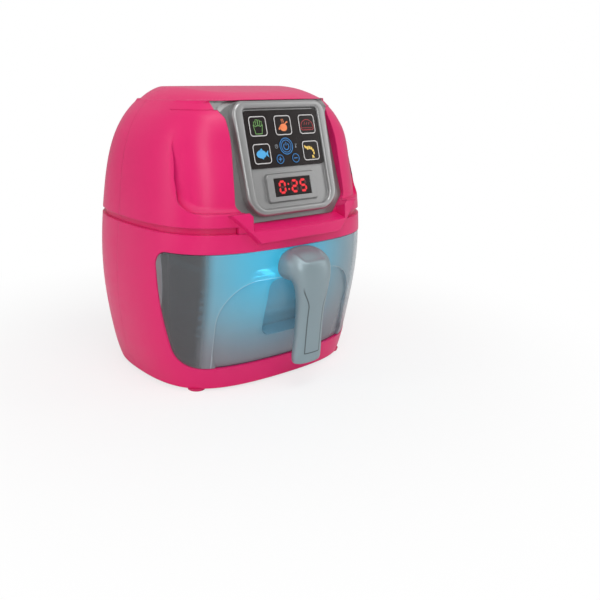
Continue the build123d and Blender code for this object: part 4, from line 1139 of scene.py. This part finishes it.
class FRYER_OT_handle(bpy.types.Operator):
    """Model the handle: rings drawn out from the front, with a thumb notch in its head."""

    bl_idname = "fryer.handle"
    bl_label = "Handle"

    def execute(self, context):
        deselect()
        bpy.ops.mesh.primitive_circle_add(vertices=RING_POINTS, radius=10 * MM, fill_type="NGON")
        piece = context.object
        piece.name = "handle_shell"
        turn = piece.data.attributes.new("turn", "INT", "POINT")
        turn.data.foreach_set("value", range(RING_POINTS))
        bpy.ops.object.mode_set(mode="EDIT")
        bpy.ops.mesh.select_all(action="SELECT")
        move_ring(piece, handle_ring(*HANDLE_RINGS[0]))
        for ring in HANDLE_RINGS[1:]:
            bpy.ops.mesh.extrude_region_move(TRANSFORM_OT_translate={"value": (0, 0, 0)})
            move_ring(piece, handle_ring(*ring))
        bpy.ops.mesh.inset(thickness=END_INSET * MM)
        bpy.ops.mesh.select_all(action="SELECT")
        bpy.ops.mesh.normals_make_consistent(inside=False)
        bpy.ops.mesh.select_all(action="DESELECT")
        form = bmesh.from_edit_mesh(piece.data)
        for face in form.faces:
            middle = face.calc_center_median() / MM
            on_head = abs(middle.x) < NOTCH_HALF and NOTCH_FRONT < middle.y < NOTCH_BACK and middle.z > NOTCH_LEVEL
            face.select = on_head and face.normal.z > 0.3
        bmesh.update_edit_mesh(piece.data)
        bpy.ops.mesh.inset(thickness=NOTCH_INSET * MM)
        bpy.ops.transform.translate(value=Vector(NOTCH_MOVE) * MM)
        bpy.ops.object.mode_set(mode="OBJECT")
        smooth = piece.modifiers.new("smooth", "SUBSURF")
        smooth.levels = smooth.render_levels = 3
        bpy.ops.object.modifier_apply(modifier="smooth")
        bpy.ops.object.shade_smooth()
        finish_piece(piece, "drawer", MATERIALS["handle"], "handle_grey", "handle_body", "handle_cover")
        return {"FINISHED"}


class FRYER_OT_inside(bpy.types.Operator):
    """Dress what is inside: the chamber, the lamps, the boards, the loudspeaker and the battery bay."""

    bl_idname = "fryer.inside"
    bl_label = "Inside"

    def execute(self, context):
        dress(("chamber_liner",), "liner", "liner_plastic")
        dress(("light_lens", "led_lamps"), "lamp_light", "lens")
        recolour(("led_board", "key_board"), "board")
        recolour(("control_chip", "display_module"), "dark")
        recolour(("dome_sheet",), "rubber")
        dress(("speaker",), "dark", "speaker_black")
        recolour(("battery_box",), "pale")
        dress(("aa_cells",), "cell", "cell")
        recolour(("battery_contacts",), "steel")
        dress(("housing_screws", "door_screw", "board_screws"), "steel", "screw_steel")
        return {"FINISHED"}


# Lamps: name, place, what it faces (metres), sizes and power
LAMPS = (
    ("key_light", (-0.80, -1.00, 0.75), (0, 0, 0.12), (0.28, 1.1), 5.5),
    ("side_light", (-1.15, 0.25, 0.5), (0, 0, 0.12), (0.5, 1.0), 2.4),
    ("top_light", (-0.1, -0.55, 1.3), (0, 0, 0.1), (0.8, 0.5), 5.0),
    ("right_light", (1.0, -0.7, 0.5), (0, 0, 0.12), (0.4, 1.0), 2.6),
)
CHAMBER_LAMP = (0, -0.040, 0.098)

# The camera: its place and what it faces in millimetres, and the picture's pixels for its lens and shift
EYE = (-328.8, -453.9, 216.6)
LOOKS_AT = (0, 0, 104.9)
SENSOR = 36
FRAME_PIXELS = 600
FOCAL_PIXELS = 719
SHIFT_PIXELS = (70.1, -76.7)


def white_for(tree, kind, amount, plain):
    """Shows plain white where an amount is 1, in place of a shader."""
    bright = node(tree, kind)
    bright.inputs["Color"].default_value = WHITE
    blend = node(tree, "ShaderNodeMixShader")
    tree.links.new(amount, blend.inputs["Fac"])
    tree.links.new(plain, blend.inputs[1])
    tree.links.new(bright.outputs[0], blend.inputs[2])
    return blend.outputs[0]


def floor_material():
    """Pale grey that the camera sees as white away from the object, so that its shadow stays."""
    material = bpy.data.materials.new("floor_white")
    material.use_nodes = True
    tree = material.node_tree
    shader = tree.nodes["Principled BSDF"]
    shader.inputs["Base Color"].default_value = (0.85, 0.85, 0.85, 1)
    shader.inputs["Roughness"].default_value = 0.6
    seen = node(tree, "ShaderNodeLightPath").outputs["Is Camera Ray"]
    distance = node(tree, "ShaderNodeVectorMath", operation="LENGTH")
    tree.links.new(node(tree, "ShaderNodeTexCoord").outputs["Object"], distance.inputs[0])
    away = map_range(tree, distance.outputs["Value"], 0.12, 0.34, 0.72, 1.0)
    shown = white_for(tree, "ShaderNodeEmission", math_node(tree, "MULTIPLY", seen, away), shader.outputs[0])
    tree.links.new(shown, tree.nodes["Material Output"].inputs["Surface"])
    return material


def studio_world():
    """Soft light that grows towards the top, seen as white behind the object."""
    world = bpy.data.worlds.new("studio")
    world.use_nodes = True
    tree = world.node_tree
    plain = tree.nodes["Background"]
    plain.inputs["Color"].default_value = WHITE
    rise = node(tree, "ShaderNodeSeparateXYZ")
    tree.links.new(node(tree, "ShaderNodeTexCoord").outputs["Generated"], rise.inputs[0])
    tree.links.new(map_range(tree, rise.outputs["Z"], -0.1, 0.9, 0.2, 0.6), plain.inputs["Strength"])
    path = node(tree, "ShaderNodeLightPath")
    gloss = math_node(tree, "MULTIPLY", path.outputs["Is Glossy Ray"], 0.25)
    seen = math_node(tree, "MAXIMUM", path.outputs["Is Camera Ray"], path.outputs["Is Transmission Ray"])
    seen = math_node(tree, "MAXIMUM", seen, gloss)
    shown = white_for(tree, "ShaderNodeBackground", seen, plain.outputs[0])
    tree.links.new(shown, tree.nodes["World Output"].inputs["Surface"])
    return world


def add_lamp(name, kind, place):
    """A new lamp."""
    deselect()
    bpy.ops.object.light_add(type=kind, location=place)
    lamp = bpy.context.object
    lamp.name = name
    return lamp


def turn_towards(place, aim):
    """The turn that makes a lamp or camera at a place look at a point."""
    return (Vector(aim) - Vector(place)).to_track_quat("-Z", "Y").to_euler()


class FRYER_OT_stage(bpy.types.Operator):
    """Make the floor, the lights and the camera."""

    bl_idname = "fryer.stage"
    bl_label = "Stage"

    def execute(self, context):
        deselect()
        bpy.ops.mesh.primitive_plane_add(size=8, location=(0, 0, 0))
        floor = context.object
        floor.name = "floor"
        settle(floor)
        floor.data.materials.append(floor_material())
        context.scene.world = studio_world()

        for name, place, aim, size, power in LAMPS:
            lamp = add_lamp(name, "AREA", place)
            lamp.data.shape = "RECTANGLE"
            lamp.data.size, lamp.data.size_y = size
            lamp.data.energy = power
            lamp.rotation_euler = turn_towards(place, aim)
        lamp = add_lamp("chamber_light", "POINT", CHAMBER_LAMP)
        lamp.data.shadow_soft_size = 0.012
        lamp.data.color = context.scene.fryer_colours.glow
        lamp.data.energy = 0.12

        eye, middle = Vector(EYE) * MM, Vector(LOOKS_AT) * MM
        deselect()
        bpy.ops.object.camera_add(location=eye)
        camera = context.object
        camera.rotation_euler = turn_towards(eye, middle)
        camera.data.sensor_width = SENSOR
        camera.data.lens = SENSOR * FOCAL_PIXELS / FRAME_PIXELS
        camera.data.shift_x, camera.data.shift_y = (pixels / FRAME_PIXELS for pixels in SHIFT_PIXELS)
        camera.data.clip_start = 0.01
        context.scene.camera = camera
        context.scene.view_settings.view_transform = "Standard"
        return {"FINISHED"}


class FRYER_PT_panel(bpy.types.Panel):
    """The sidebar panel that lists the steps."""

    bl_label = "Toy air fryer"
    bl_idname = "FRYER_PT_panel"
    bl_space_type = "VIEW_3D"
    bl_region_type = "UI"
    bl_category = "Toy air fryer"

    def draw(self, context):
        for step in STEPS:
            self.layout.operator(step.bl_idname)


STEPS = (
    FRYER_OT_finishes,
    FRYER_OT_housing,
    FRYER_OT_console,
    FRYER_OT_keys,
    FRYER_OT_display,
    FRYER_OT_drawer,
    FRYER_OT_handle,
    FRYER_OT_inside,
    FRYER_OT_stage,
)


def register():
    """Registers the classes and their settings."""
    for made in (FryerColours, FryerSizes, *STEPS, FRYER_PT_panel):
        bpy.utils.register_class(made)
    bpy.types.Scene.fryer_colours = bpy.props.PointerProperty(type=FryerColours)
    bpy.types.Scene.fryer_sizes = bpy.props.PointerProperty(type=FryerSizes)


def unregister():
    """Takes the classes and their settings away."""
    del bpy.types.Scene.fryer_sizes
    del bpy.types.Scene.fryer_colours
    for made in reversed((FryerColours, FryerSizes, *STEPS, FRYER_PT_panel)):
        bpy.utils.unregister_class(made)


def main():
    """Builds everything."""
    register()
    for step in STEPS:
        group, name = step.bl_idname.split(".")
        getattr(getattr(bpy.ops, group), name)()
    deselect()


if __name__ == "__main__":
    main()
